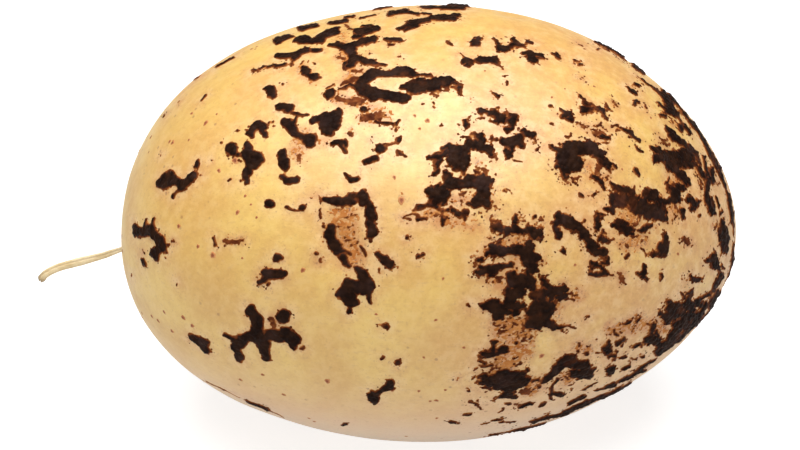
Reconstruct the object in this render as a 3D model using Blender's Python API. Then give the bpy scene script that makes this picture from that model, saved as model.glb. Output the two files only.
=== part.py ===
"""A potato as dug: one egg-shaped tuber lying on a small flat spot, with the dried stolon at its heel end.

Blender 4.5 script, in metres. +Z is up, +X runs along the tuber from its heel (the stem end) to its rose end
(where the eyes crowd), and the origin is the middle of the flat spot that the tuber rests on.
"""

import math

import bmesh
import bpy
from mathutils import Vector

MM = 0.001

# The tuber, as if the flat spot had not been taken off.
TUBER_LENGTH = 90 * MM
TUBER_WIDTH = 68 * MM
TUBER_HEIGHT = 63.5 * MM
HEEL_FULLNESS = 0.10  # how much fuller than an ellipsoid the heel is, and how much leaner the rose end
END_DROOP = 1.5 * MM  # how far both ends hang below the middle
FLAT_DEPTH = 0.8 * MM  # how much of the underside the flat spot takes off
SNAP = 0.02 * MM  # a vertex this close to the flat spot's plane is taken to lie on it
SPHERE_LEVEL = 5  # subdivisions of the icosphere that the tuber is shaped from
DOWN = Vector((0, 0, -1))

# Gentle swellings: (waves along X, Y and Z, phase, height).
SWELLINGS = (
    (2.1, 1.3, -0.6, 0.4, 0.25 * MM),
    (-1.2, 2.4, 1.5, 2.0, 0.25 * MM),
    (3.4, -1.1, 2.2, 4.1, 0.20 * MM),
    (1.6, 3.1, -2.7, 5.2, 0.15 * MM),
)

# The eyes, on the spiral that a shoot's buds follow, from the heel to the rose end.
EYE_STATIONS = (-0.62, -0.27, 0.02, 0.27, 0.48, 0.65, 0.78, 0.88, 0.95)
FIRST_EYE_TURN = math.radians(-72.5)
EYE_TURN = math.radians(137.5)
EYE_RADIUS = 3.0 * MM
EYE_DEPTH = 0.55 * MM
BROW_HEIGHT = 0.25 * MM
BROW_OFFSET = 0.9  # the brow stands this many eye radii towards the heel

# The heel, where the stolon joins, just under the tuber's long axis and a little to the back.
HEEL_DIRECTION = Vector((-0.984, 0.080, -0.130)).normalized()
HEEL_RADIUS = 3.5 * MM
HEEL_DEPTH = 0.5 * MM

# The stolon: (out from the heel, sideways, up, share of its diameter), from its root to its broken tip.
STOLON_DIAMETER = 1.2 * MM
STOLON_GAP = 0.4 * MM  # the skin's flat facets stand a little proud of its formula, so 0.3 mm is left
STOLON_ROUTE = (
    (0.0 * MM, 0.0 * MM, 0.0 * MM, 0.63),
    (2.0 * MM, 0.15 * MM, -0.85 * MM, 0.65),
    (4.4 * MM, 0.35 * MM, -1.9 * MM, 0.85),
    (6.7 * MM, 0.4 * MM, -2.6 * MM, 1.0),
    (9.0 * MM, 0.35 * MM, -3.25 * MM, 1.0),
    (11.2 * MM, 0.2 * MM, -3.9 * MM, 1.0),
    (12.9 * MM, -0.1 * MM, -4.75 * MM, 0.92),
    (13.8 * MM, -0.3 * MM, -5.75 * MM, 0.9),
)

SKIN_COLOUR = (0.73, 0.45, 0.17, 1.0)
SKIN_ROUGHNESS = 0.5
STOLON_COLOUR = (0.72, 0.60, 0.38, 1.0)
STOLON_ROUGHNESS = 0.7


def clear_scene():
    for obj in list(bpy.data.objects):
        bpy.data.objects.remove(obj, do_unlink=True)


def material(name, colour, roughness):
    """A plain, non-metallic surface."""
    made = bpy.data.materials.new(name)
    made.use_nodes = True
    shader = made.node_tree.nodes["Principled BSDF"]
    shader.inputs["Base Color"].default_value = colour
    shader.inputs["Roughness"].default_value = roughness
    shader.inputs["Metallic"].default_value = 0.0
    return made


def egg_point(direction):
    """Where a unit direction from the tuber's middle meets the plain egg, with no swellings or eyes.

    It is an ellipsoid whose girth grows towards the heel with the cube of the station, and whose ends droop
    with its fourth power.
    """
    station = direction.x
    girth = 1 - HEEL_FULLNESS * station**3
    return Vector(
        (
            direction.x * TUBER_LENGTH / 2,
            direction.y * TUBER_WIDTH / 2 * girth,
            direction.z * TUBER_HEIGHT / 2 * girth - END_DROOP * station**4,
        )
    )


def egg_normal(direction):
    """The way out of the skin there: the normal of the ellipsoid that the egg is drawn from."""
    across = Vector((direction.x / TUBER_LENGTH, direction.y / TUBER_WIDTH, direction.z / TUBER_HEIGHT))
    return across.normalized()


def eye_direction(station, turn):
    """The direction of an eye at this station along X, turned this far round from the top towards -Y."""
    girth = math.sqrt(1 - station**2)
    return Vector((station, -girth * math.sin(turn), girth * math.cos(turn)))


def dent(point, middle, radius):
    """A soft round hollow, 1 at its middle and fading out by about twice its radius."""
    return math.exp(-(((point - middle).length / radius) ** 2))


def eyes():
    """(middle of the eye, middle of its brow) for every eye, on the plain egg."""
    found = []
    for number, station in enumerate(EYE_STATIONS):
        turn = FIRST_EYE_TURN + number * EYE_TURN
        middle = egg_point(eye_direction(station, turn))
        brow_station = station - BROW_OFFSET * EYE_RADIUS / (TUBER_LENGTH / 2)
        found.append((middle, egg_point(eye_direction(brow_station, turn))))
    return found


def relief(direction, point, eye_places, heel):
    """How far the skin stands proud of the plain egg at this point."""
    height = 0.0
    for wave_x, wave_y, wave_z, phase, amount in SWELLINGS:
        turn = wave_x * direction.x + wave_y * direction.y + wave_z * direction.z + phase
        height += amount * math.sin(turn)
    for middle, brow in eye_places:
        height -= EYE_DEPTH * dent(point, middle, EYE_RADIUS)
        height += BROW_HEIGHT * dent(point, brow, EYE_RADIUS / 2)
    return height - HEEL_DEPTH * dent(point, heel, HEEL_RADIUS)


def skin_point(direction, eye_places, heel):
    """Where a unit direction from the tuber's middle meets the finished skin."""
    point = egg_point(direction)
    return point + egg_normal(direction) * relief(direction, point, eye_places, heel)


def cut_flat(shape, height):
    """Takes off what lies below this height and closes the cut with one flat face."""
    cut = bmesh.ops.bisect_plane(
        shape,
        geom=shape.verts[:] + shape.edges[:] + shape.faces[:],
        dist=SNAP,
        plane_co=(0, 0, height),
        plane_no=(0, 0, -1),
        clear_outer=True,
    )
    rim = [part for part in cut["geom_cut"] if isinstance(part, bmesh.types.BMEdge)]
    for vertex in {end for edge in rim for end in edge.verts}:
        vertex.co.z = height
    bmesh.ops.holes_fill(shape, edges=rim, sides=0)


def add_tuber():
    """The tuber: a shaped icosphere, cut flat underneath and raised to lie on its flat spot."""
    eye_places = eyes()
    heel = egg_point(HEEL_DIRECTION)
    flat_height = skin_point(DOWN, eye_places, heel).z + FLAT_DEPTH
    shape = bmesh.new()
    bmesh.ops.create_icosphere(shape, subdivisions=SPHERE_LEVEL, radius=1.0)
    for vertex in shape.verts:
        vertex.co = skin_point(vertex.co.normalized(), eye_places, heel)
    cut_flat(shape, flat_height)
    bmesh.ops.recalc_face_normals(shape, faces=shape.faces[:])
    mesh = bpy.data.meshes.new("tuber")
    shape.to_mesh(mesh)
    shape.free()
    tuber = bpy.data.objects.new("tuber", mesh)
    tuber.location = (0, 0, -flat_height)
    tuber.data.materials.append(material("potato skin", SKIN_COLOUR, SKIN_ROUGHNESS))
    tuber.data.shade_smooth()
    tuber.data.set_sharp_from_angle(angle=math.radians(30))
    bpy.context.scene.collection.objects.link(tuber)
    return tuber


def add_stolon(tuber):
    """The stolon: a tapering round stem along its route, held off the skin at its root by a small gap."""
    heel = egg_point(HEEL_DIRECTION)
    root = skin_point(HEEL_DIRECTION, eyes(), heel) + egg_normal(HEEL_DIRECTION) * STOLON_GAP
    curve = bpy.data.curves.new("stolon", "CURVE")
    curve.dimensions = "3D"
    curve.resolution_u = 4
    curve.bevel_depth = 1.0
    curve.bevel_resolution = 3
    curve.use_fill_caps = True
    spline = curve.splines.new("BEZIER")
    spline.bezier_points.add(len(STOLON_ROUTE) - 1)
    for place, (out, sideways, up, share) in zip(spline.bezier_points, STOLON_ROUTE):
        place.co = root + Vector((-out, sideways, up))
        place.radius = share * STOLON_DIAMETER / 2
        place.handle_left_type = "AUTO"
        place.handle_right_type = "AUTO"
    stolon = bpy.data.objects.new("stolon", curve)
    stolon.parent = tuber
    curve.materials.append(material("dry stolon", STOLON_COLOUR, STOLON_ROUGHNESS))
    bpy.context.scene.collection.objects.link(stolon)
    return stolon


def main():
    clear_scene()
    add_stolon(add_tuber())


main()
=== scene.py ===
"""The look of a potato: its skin, its dried stolon, its scurf and its lenticels, on a pale table."""

import math

import bpy
import numpy as np
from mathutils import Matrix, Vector


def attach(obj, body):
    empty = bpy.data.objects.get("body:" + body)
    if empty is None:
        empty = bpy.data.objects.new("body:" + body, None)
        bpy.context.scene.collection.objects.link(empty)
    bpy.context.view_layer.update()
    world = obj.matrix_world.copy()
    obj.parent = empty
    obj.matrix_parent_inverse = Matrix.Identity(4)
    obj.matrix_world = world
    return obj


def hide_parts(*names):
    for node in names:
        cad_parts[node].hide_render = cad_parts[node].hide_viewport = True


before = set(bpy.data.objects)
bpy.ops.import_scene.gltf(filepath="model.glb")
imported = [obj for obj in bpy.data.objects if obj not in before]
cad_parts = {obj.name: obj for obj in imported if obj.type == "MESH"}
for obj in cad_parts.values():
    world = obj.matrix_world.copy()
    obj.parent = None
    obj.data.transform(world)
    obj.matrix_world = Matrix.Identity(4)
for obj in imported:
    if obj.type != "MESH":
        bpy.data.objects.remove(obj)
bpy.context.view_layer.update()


# ---- skin --------------------------------------------------------------------------------------
# The tuber's skin: a thin corky layer over pale flesh, egg-shaped and fuller at the heel, with shallow eyes
# under low brows. It grew in one piece, is satin yellow-buff, and has a small flat spot where it rests.
MM = 0.001
TUBER_SIZE = np.array((90.0, 68.0, 63.5)) * MM
HEEL_FULLNESS = 0.10
END_DROOP = 1.5 * MM
FLAT_DEPTH = 0.8 * MM
SWELLINGS = (
    (2.1, 1.3, -0.6, 0.4, 0.25 * MM),
    (-1.2, 2.4, 1.5, 2.0, 0.25 * MM),
    (3.4, -1.1, 2.2, 4.1, 0.20 * MM),
    (1.6, 3.1, -2.7, 5.2, 0.15 * MM),
)
EYE_STATIONS = (-0.62, -0.27, 0.02, 0.27, 0.48, 0.65, 0.78, 0.88, 0.95)
FIRST_EYE_TURN = math.radians(-72.5)
EYE_TURN = math.radians(137.5)
EYE_RADIUS = 3.0 * MM
EYE_DEPTH = 0.55 * MM
BROW_HEIGHT = 0.25 * MM
BROW_OFFSET = 0.9
HEEL_DIRECTION = np.array((-0.984, 0.080, -0.130))
HEEL_RADIUS = 3.5 * MM
HEEL_DEPTH = 0.5 * MM
SKIN_CELLS = 126
CUBE_FACES = (
    ((1, 0, 0), (0, 1, 0), (0, 0, 1)),
    ((-1, 0, 0), (0, 0, 1), (0, 1, 0)),
    ((0, 1, 0), (0, 0, 1), (1, 0, 0)),
    ((0, -1, 0), (1, 0, 0), (0, 0, 1)),
    ((0, 0, 1), (1, 0, 0), (0, 1, 0)),
    ((0, 0, -1), (0, 1, 0), (1, 0, 0)),
)


def unit(vectors):
    """Each vector divided by its own length."""
    return vectors / np.linalg.norm(vectors, axis=-1, keepdims=True)


def cube_sphere(cells):
    """Unit directions all round and the square cells between them: a cube blown up into a sphere.

    On each of the six faces, with its middle m and its edges' directions e and f, the direction is the unit
    vector along m + e tan(a) + f tan(b), where a and b run evenly from -45 to 45 degrees. Points that two
    faces share are merged, and every cell winds so that it faces outwards.
    """
    turns = np.tan(np.linspace(-math.pi / 4, math.pi / 4, cells + 1))
    a, b = np.meshgrid(turns, turns, indexing="ij")
    index = np.arange((cells + 1) ** 2).reshape(cells + 1, cells + 1)
    square = np.stack((index[:-1, :-1], index[1:, :-1], index[1:, 1:], index[:-1, 1:]), axis=-1)
    square = square.reshape(-1, 4)
    directions = []
    quads = []
    for number, (middle, first, second) in enumerate(np.array(CUBE_FACES, dtype=float)):
        directions.append(unit(middle + a[..., None] * first + b[..., None] * second).reshape(-1, 3))
        quads.append(square + number * index.size)
    directions = np.concatenate(directions)
    steps = np.round((directions + 1) * 1e6).astype(np.int64)
    key = (steps[:, 0] << 42) | (steps[:, 1] << 21) | steps[:, 2]
    kept, merged = np.unique(key, return_index=True, return_inverse=True)[1:]
    return directions[kept], merged.reshape(-1)[np.concatenate(quads)]


def egg_points(directions):
    """Points of the plain egg: an ellipsoid whose girth is multiplied by 1 - fullness x³, and whose ends
    hang by droop x⁴."""
    x = directions[:, :1]
    girth = 1 - HEEL_FULLNESS * x**3
    points = directions * TUBER_SIZE / 2 * np.concatenate((np.ones_like(girth), girth, girth), axis=1)
    points[:, 2] -= END_DROOP * x[:, 0] ** 4
    return points


def egg_normals(directions):
    """The way out of the egg: the unit vector along (x / length, y / width, z / height)."""
    return unit(directions / TUBER_SIZE)


def eye_directions(stations, turns):
    """Unit directions at these stations along X, turned from the top towards -Y."""
    girth = np.sqrt(1 - stations**2)
    return np.stack((stations, -girth * np.sin(turns), girth * np.cos(turns)), axis=1)


def hollow(points, middle, radius):
    """A soft round bell over distance: exp(-(distance / radius)²)."""
    return np.exp(-(((points - middle) ** 2).sum(axis=1)) / radius**2)


def skin_points(directions):
    """Points of the finished skin: the egg plus, along its normal, four sine swellings, an eye's hollow and
    its brow's bump at each bud on the spiral, and the heel's hollow."""
    points = egg_points(directions)
    height = np.zeros(len(points))
    for *wave, phase, amount in SWELLINGS:
        height += amount * np.sin(directions @ np.array(wave) + phase)
    stations = np.array(EYE_STATIONS)
    turns = FIRST_EYE_TURN + EYE_TURN * np.arange(len(stations))
    middles = egg_points(eye_directions(stations, turns))
    brows = egg_points(eye_directions(stations - BROW_OFFSET * EYE_RADIUS / (TUBER_SIZE[0] / 2), turns))
    for middle, brow in zip(middles, brows):
        height -= EYE_DEPTH * hollow(points, middle, EYE_RADIUS)
        height += BROW_HEIGHT * hollow(points, brow, EYE_RADIUS / 2)
    heel = egg_points(unit(HEEL_DIRECTION)[None])[0]
    height -= HEEL_DEPTH * hollow(points, heel, HEEL_RADIUS)
    return points + egg_normals(directions) * height[:, None]


FLAT_HEIGHT = skin_points(np.array(((0.0, 0.0, -1.0),)))[0, 2] + FLAT_DEPTH
RAISE = np.array((0.0, 0.0, -FLAT_HEIGHT))
LATTICE_TURN = np.array(((0.36, 0.48, -0.80), (-0.80, 0.60, 0.0), (0.48, 0.64, 0.60)))
# The skin's low random bumps: (how far apart, how high, seed).
BUMPS = ((7.0 * MM, 0.07 * MM, 11), (3.5 * MM, 0.03 * MM, 12))


def chance(corner, seed):
    """A random value from 0 to 1 for each corner, given as three whole numbers: they are multiplied by large
    primes and mixed bit by bit with the seed, so it is the same in every run."""
    mixed = corner[:, 0] * 73856093 ^ corner[:, 1] * 19349663 ^ corner[:, 2] * 83492791 ^ seed * 982451653
    mixed = ((mixed ^ (mixed >> 13)) * 1274126177) & 0xFFFFFFFF
    return ((mixed ^ (mixed >> 15)) & 0xFFFF) / 65535


def lattice_noise(points, wavelength, seed):
    """Smooth random values from -1 to 1: a random value at each corner of a turned cubic lattice whose step
    is the wavelength, blended between corners by the smooth step 3t² - 2t³ along each axis."""
    place = points @ LATTICE_TURN / wavelength
    corner = np.floor(place).astype(np.int64)
    share = place - corner
    share = share * share * (3 - 2 * share)
    total = np.zeros(len(points))
    for step in np.ndindex(2, 2, 2):
        weight = [share[:, n] if step[n] else 1 - share[:, n] for n in range(3)]
        total += (2 * chance(corner + step, seed) - 1) * weight[0] * weight[1] * weight[2]
    return total


def add_piece(name, points, faces, material, attributes=()):
    """A smooth mesh piece of these points and faces, with its material and its numbers on the points."""
    mesh = bpy.data.meshes.new(name)
    mesh.from_pydata(points, [], faces)
    mesh.shade_smooth()
    for label, values in attributes:
        mesh.attributes.new(label, "FLOAT", "POINT").data.foreach_set("value", values.astype(np.float32))
    mesh.materials.append(material)
    piece = bpy.data.objects.new(name, mesh)
    bpy.context.scene.collection.objects.link(piece)
    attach(piece, "root")
    return piece


def bumpy_skin(directions):
    """The finished skin stood on the table: low random bumps are added along its normal, and what would reach
    below the table lies flat on it."""
    points = skin_points(directions) + RAISE
    bumps = sum(height * lattice_noise(points, apart, seed) for apart, height, seed in BUMPS)
    points += egg_normals(directions) * bumps[:, None]
    points[:, 2] = np.maximum(points[:, 2], 0.0)
    return points


directions, cells = cube_sphere(SKIN_CELLS)
points = bumpy_skin(directions)


def linear(red, green, blue):
    """A colour given on the 0 to 255 scale, as the linear values that a shader takes."""
    shares = np.array((red, green, blue)) / 255
    return (*np.where(shares <= 0.04045, shares / 12.92, ((shares + 0.055) / 1.055) ** 2.4), 1.0)


def add_node(tree, kind, inputs=(), **settings):
    """A node of this kind with these settings; each input is linked if a socket, and set if a value."""
    node = tree.nodes.new(kind)
    for key, value in settings.items():
        setattr(node, key, value)
    for key, value in dict(inputs).items():
        if isinstance(value, bpy.types.NodeSocket):
            tree.links.new(value, node.inputs[key])
        else:
            node.inputs[key].default_value = value
    return node


def blend(tree, share, first, second):
    """The colour share of the way from the first to the second."""
    return add_node(tree, "ShaderNodeMix", {0: share, 6: first, 7: second}, data_type="RGBA").outputs[2]


def reach(tree, value, low, high, start=0.0, end=1.0):
    """The value carried smoothly from low..high to start..end and held there."""
    spans = {0: value, 1: low, 2: high, 3: start, 4: end}
    return add_node(tree, "ShaderNodeMapRange", spans, interpolation_type="SMOOTHSTEP").outputs[0]


def combine(tree, kind, first, second):
    """Simple arithmetic on two values."""
    return add_node(tree, "ShaderNodeMath", {0: first, 1: second}, operation=kind).outputs[0]


def attribute(tree, name):
    """A number kept on each point of the mesh."""
    return add_node(tree, "ShaderNodeAttribute", attribute_name=name).outputs["Fac"]


def noise(tree, place, per_metre, detail=3.0, roughness=0.55):
    """Cloudy values between 0 and 1, with this many waves to the metre."""
    inputs = {"Vector": place, "Scale": per_metre, "Detail": detail, "Roughness": roughness}
    return add_node(tree, "ShaderNodeTexNoise", inputs).outputs["Fac"]


def new_material(name):
    """A material whose tree holds only its Principled shader and output: (material, tree, shader)."""
    made = bpy.data.materials.new(name)
    made.use_nodes = True
    return made, made.node_tree, made.node_tree.nodes["Principled BSDF"]


def add_bump(tree, shader, first, first_share, second, second_share, strength, distance):
    """Fine relief on the shader: its height is first x share + second x share, at most distance metres."""
    first_part = combine(tree, "MULTIPLY", first, first_share)
    height = combine(tree, "ADD", first_part, combine(tree, "MULTIPLY", second, second_share))
    bump = add_node(tree, "ShaderNodeBump", {"Height": height, "Strength": strength, "Distance": distance})
    tree.links.new(bump.outputs[0], shader.inputs["Normal"])


def grain_group():
    """Natural unevenness that the potato's surfaces share: Mottle is cloudy patches, Grain is fine pits."""
    group = bpy.data.node_groups.new("natural grain", "ShaderNodeTree")
    group.interface.new_socket("Patch Scale", in_out="INPUT", socket_type="NodeSocketFloat")
    group.interface.new_socket("Grain Scale", in_out="INPUT", socket_type="NodeSocketFloat")
    group.interface.new_socket("Mottle", in_out="OUTPUT", socket_type="NodeSocketFloat")
    group.interface.new_socket("Grain", in_out="OUTPUT", socket_type="NodeSocketFloat")
    given = group.nodes.new("NodeGroupInput")
    place = add_node(group, "ShaderNodeTexCoord").outputs["Object"]
    patches = noise(group, place, given.outputs["Patch Scale"], 4.0)
    grain = noise(group, place, given.outputs["Grain Scale"], 5.0, 0.65)
    taken = group.nodes.new("NodeGroupOutput")
    group.links.new(patches, taken.inputs["Mottle"])
    group.links.new(grain, taken.inputs["Grain"])
    return group


GRAIN = grain_group()


def grain(tree, patch_scale, grain_scale):
    """The shared unevenness at these two scales: (mottle, grain)."""
    node = add_node(tree, "ShaderNodeGroup", node_tree=GRAIN)
    node.inputs["Patch Scale"].default_value = patch_scale
    node.inputs["Grain Scale"].default_value = grain_scale
    return node.outputs["Mottle"], node.outputs["Grain"]


# The skin's colours, given on the 0 to 255 scale.
YELLOW_BUFF = linear(231, 195, 98)
OCHRE_BUFF = linear(216, 174, 78)
BROAD_TAN = linear(214, 166, 88)
ROSE_END_TAN = linear(213, 154, 80)
CLOUD_TAN = linear(194, 142, 82)
CLOUD_CREAM = linear(240, 208, 148)
NETTING_BROWN = linear(190, 142, 80)
BLUSH_CREAM = linear(230, 190, 142)
BLUSH_PINK = linear(208, 150, 98)
# The two belly colours and their heights: partly the underside's own paler skin, partly painted light bounced
# up from the white table.
BELLY_AND_BOUNCE_PINK = linear(222, 186, 150)
BELLY_AND_BOUNCE_GREY = linear(228, 210, 190)
FRECKLE_BROWN = linear(158, 92, 56)
SOAKED_ORANGE = linear(196, 128, 62)
FLECK_BROWN = linear(116, 58, 24)
PRICK_BROWN = linear(160, 106, 56)
PRICKS_PER_METRE = 420.0
ROSE_END_STARTS = -0.012
ROSE_END_FULL = 0.030
BELLY_AND_BOUNCE_PINK_HEIGHTS = (0.028, 0.011)
BELLY_AND_BOUNCE_GREY_HEIGHTS = (0.018, 0.006)


def skin_material():
    """Satin yellow-buff cork, built up in layers: cloudy buffs, tan towards the rose end, fine netting, a
    pinkish blush near the scurf, a belly that pales towards the table (partly the skin's own paler underside,
    partly painted light bounced up from the white table), freckles, orange-brown soaked stains and brown
    pricks."""
    made, tree, shader = new_material("potato skin")
    place = add_node(tree, "ShaderNodeTexCoord").outputs["Object"]
    axes = add_node(tree, "ShaderNodeSeparateXYZ", {"Vector": place}).outputs
    mottle, pits = grain(tree, 90.0, 900.0)
    broad = noise(tree, place, 28.0, 2.0)
    base = blend(tree, reach(tree, mottle, 0.35, 0.68), YELLOW_BUFF, OCHRE_BUFF)
    base = blend(tree, reach(tree, broad, 0.45, 0.72, 0.0, 0.5), base, BROAD_TAN)

    roseward = reach(tree, axes["X"], ROSE_END_STARTS, ROSE_END_FULL, 0.35, 1.0)
    warm = combine(tree, "MULTIPLY", roseward, reach(tree, mottle, 0.3, 0.65, 0.3, 0.7))
    base = blend(tree, warm, base, ROSE_END_TAN)
    cloud = noise(tree, place, 620.0, 5.0, 0.70)
    tan = combine(tree, "MULTIPLY", reach(tree, cloud, 0.50, 0.68, 0.0, 0.45), roseward)
    cream = combine(tree, "MULTIPLY", reach(tree, cloud, 0.50, 0.34, 0.0, 0.30), roseward)
    base = blend(tree, cream, blend(tree, tan, base, CLOUD_TAN), CLOUD_CREAM)

    fibres = add_node(tree, "ShaderNodeMapping", {"Vector": place, "Scale": (0.35, 1.0, 1.0)}).outputs[0]
    netting = noise(tree, fibres, 1500.0, 3.0, 0.6)
    base = blend(tree, reach(tree, netting, 0.56, 0.70, 0.0, 0.25), base, NETTING_BROWN)

    near = attribute(tree, "near")
    blush = blend(tree, reach(tree, cloud, 0.40, 0.60), BLUSH_CREAM, BLUSH_PINK)
    blushing = combine(tree, "MULTIPLY", near, reach(tree, mottle, 0.3, 0.6, 0.35, 0.70))
    base = blend(tree, blushing, base, blush)
    # Paler pink and grey towards the bottom: partly the underside's own tone, partly painted light bounced up
    # from the white table.
    base = blend(tree, reach(tree, axes["Z"], *BELLY_AND_BOUNCE_PINK_HEIGHTS, 0.0, 0.75), base, BELLY_AND_BOUNCE_PINK)
    base = blend(tree, reach(tree, axes["Z"], *BELLY_AND_BOUNCE_GREY_HEIGHTS, 0.0, 0.55), base, BELLY_AND_BOUNCE_GREY)
    freckles = reach(tree, noise(tree, place, 2700.0, 2.0), 0.60, 0.67)
    freckles = combine(tree, "MULTIPLY", freckles, combine(tree, "MULTIPLY", near, 0.55))
    base = blend(tree, freckles, base, FRECKLE_BROWN)

    soak = attribute(tree, "stain")
    ragged = reach(tree, noise(tree, place, 1100.0, 3.0), 0.34, 0.60, 0.30, 0.95)
    base = blend(tree, combine(tree, "MULTIPLY", soak, ragged), base, SOAKED_ORANGE)
    flecks = reach(tree, noise(tree, place, 2300.0, 3.0, 0.7), 0.56, 0.64)
    marks = combine(tree, "MULTIPLY", flecks, combine(tree, "MULTIPLY", soak, 0.85))
    base = blend(tree, marks, base, FLECK_BROWN)
    pricks = {"Vector": place, "Scale": PRICKS_PER_METRE}
    pricks = add_node(tree, "ShaderNodeTexVoronoi", pricks).outputs["Distance"]
    pricked = reach(tree, pricks, 0.06, 0.14, 1.0, 0.0)
    dots = combine(tree, "MULTIPLY", pricked, reach(tree, broad, 0.42, 0.6, 0.1, 0.6))
    base = blend(tree, dots, base, PRICK_BROWN)
    tree.links.new(base, shader.inputs["Base Color"])

    tree.links.new(reach(tree, mottle, 0.3, 0.7, 0.42, 0.54), shader.inputs["Roughness"])
    shader.inputs["Specular IOR Level"].default_value = 1.0
    shader.inputs["Subsurface Weight"].default_value = 0.12
    shader.inputs["Subsurface Radius"].default_value = (1.0, 0.55, 0.25)
    shader.inputs["Subsurface Scale"].default_value = 0.0015
    add_bump(tree, shader, netting, 0.5, pits, 0.5, 0.45, 0.00015)
    return made


skin = add_piece("skin", points, cells, skin_material())
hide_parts("tuber")


# ---- stolon ------------------------------------------------------------------------------------
# The dried stolon: the thin underground stem that the tuber grew on. It is a withered pale straw-coloured
# stalk of plant fibre, grooved where it shrank, grown into the heel, with a browned torn tip that bends down.
STOLON_DIAMETER = 1.2 * MM
STOLON_GAP = 0.4 * MM
# Stops along the stem: (out from the heel, across, up) in millimetres, and the share of the diameter.
STOLON_ROUTE = np.array(
    (
        (-0.9, 0.0, 0.3, 0.80),
        (0.0, 0.0, 0.0, 0.66),
        (2.0, 0.15, -0.85, 0.65),
        (4.4, 0.35, -1.9, 0.85),
        (6.7, 0.4, -2.6, 1.0),
        (9.0, 0.35, -3.25, 1.0),
        (11.2, 0.2, -3.9, 1.0),
        (12.9, -0.1, -4.75, 0.92),
        (13.8, -0.3, -5.75, 0.95),
    )
)
STOLON_STEPS = 260
STOLON_SIDES = 40
# The stem's two shrunken grooves: (where round the stem, how far it winds, how wide, how deep).
DEEP_GROOVE = (2.2, 0.5, 0.20, 0.24)
LESSER_GROOVE = (5.0, -0.8, 0.16, 0.12)
RIB_SHARE = 0.035
WAVE_SHARE = 0.04
TIP_BULGE_SHARE = 0.10
TIP_BULGE_RUN = 0.955
TEAR_RUN = 0.985
TEAR_DEPTH = 0.16 * MM
END_DOME = 0.12 * MM
STEM_STRAW = linear(240, 222, 182)
STEM_BUFF = linear(222, 198, 148)
STEM_STREAK = linear(190, 158, 108)
STEM_BROWN = linear(132, 104, 66)


def smooth_route(stops, steps):
    """A curve through the stops: on each stretch the Catmull-Rom cubic of its ends and their neighbours."""
    padded = np.concatenate((2 * stops[:1] - stops[1:2], stops, 2 * stops[-1:] - stops[-2:-1]))
    place = np.linspace(0, len(stops) - 1 - 1e-9, steps)
    number = place.astype(int)
    t = (place - number)[:, None]
    p0, p1, p2, p3 = (padded[number + shift] for shift in range(4))
    bent = (2 * p0 - 5 * p1 + 4 * p2 - p3) * t**2 + (3 * p1 - p0 - 3 * p2 + p3) * t**3
    return (2 * p1 + (p2 - p0) * t + bent) / 2


def tube_faces(rings, sides):
    """Quads between neighbouring rings of points, and triangles from a point at each end to its ring."""
    index = np.arange(rings * sides).reshape(rings, sides)
    after = np.roll(index, -1, axis=1)
    walls = np.stack((index[:-1], after[:-1], after[1:], index[1:]), axis=-1).reshape(-1, 4).tolist()
    first = np.stack((np.full(sides, rings * sides), after[0], index[0]), axis=-1).tolist()
    last = np.stack((np.full(sides, rings * sides + 1), index[-1], after[-1]), axis=-1).tolist()
    return walls + first + last


def winding_groove(turn, run, place, winding, width):
    """How deep inside a groove each place lies, from 0 to 1: exp(-(sin(half the turn from its middle) /
    width)²), where the middle moves round with the run."""
    return np.exp(-((np.sin((turn - place - winding * run) / 2) / width) ** 2))


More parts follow.
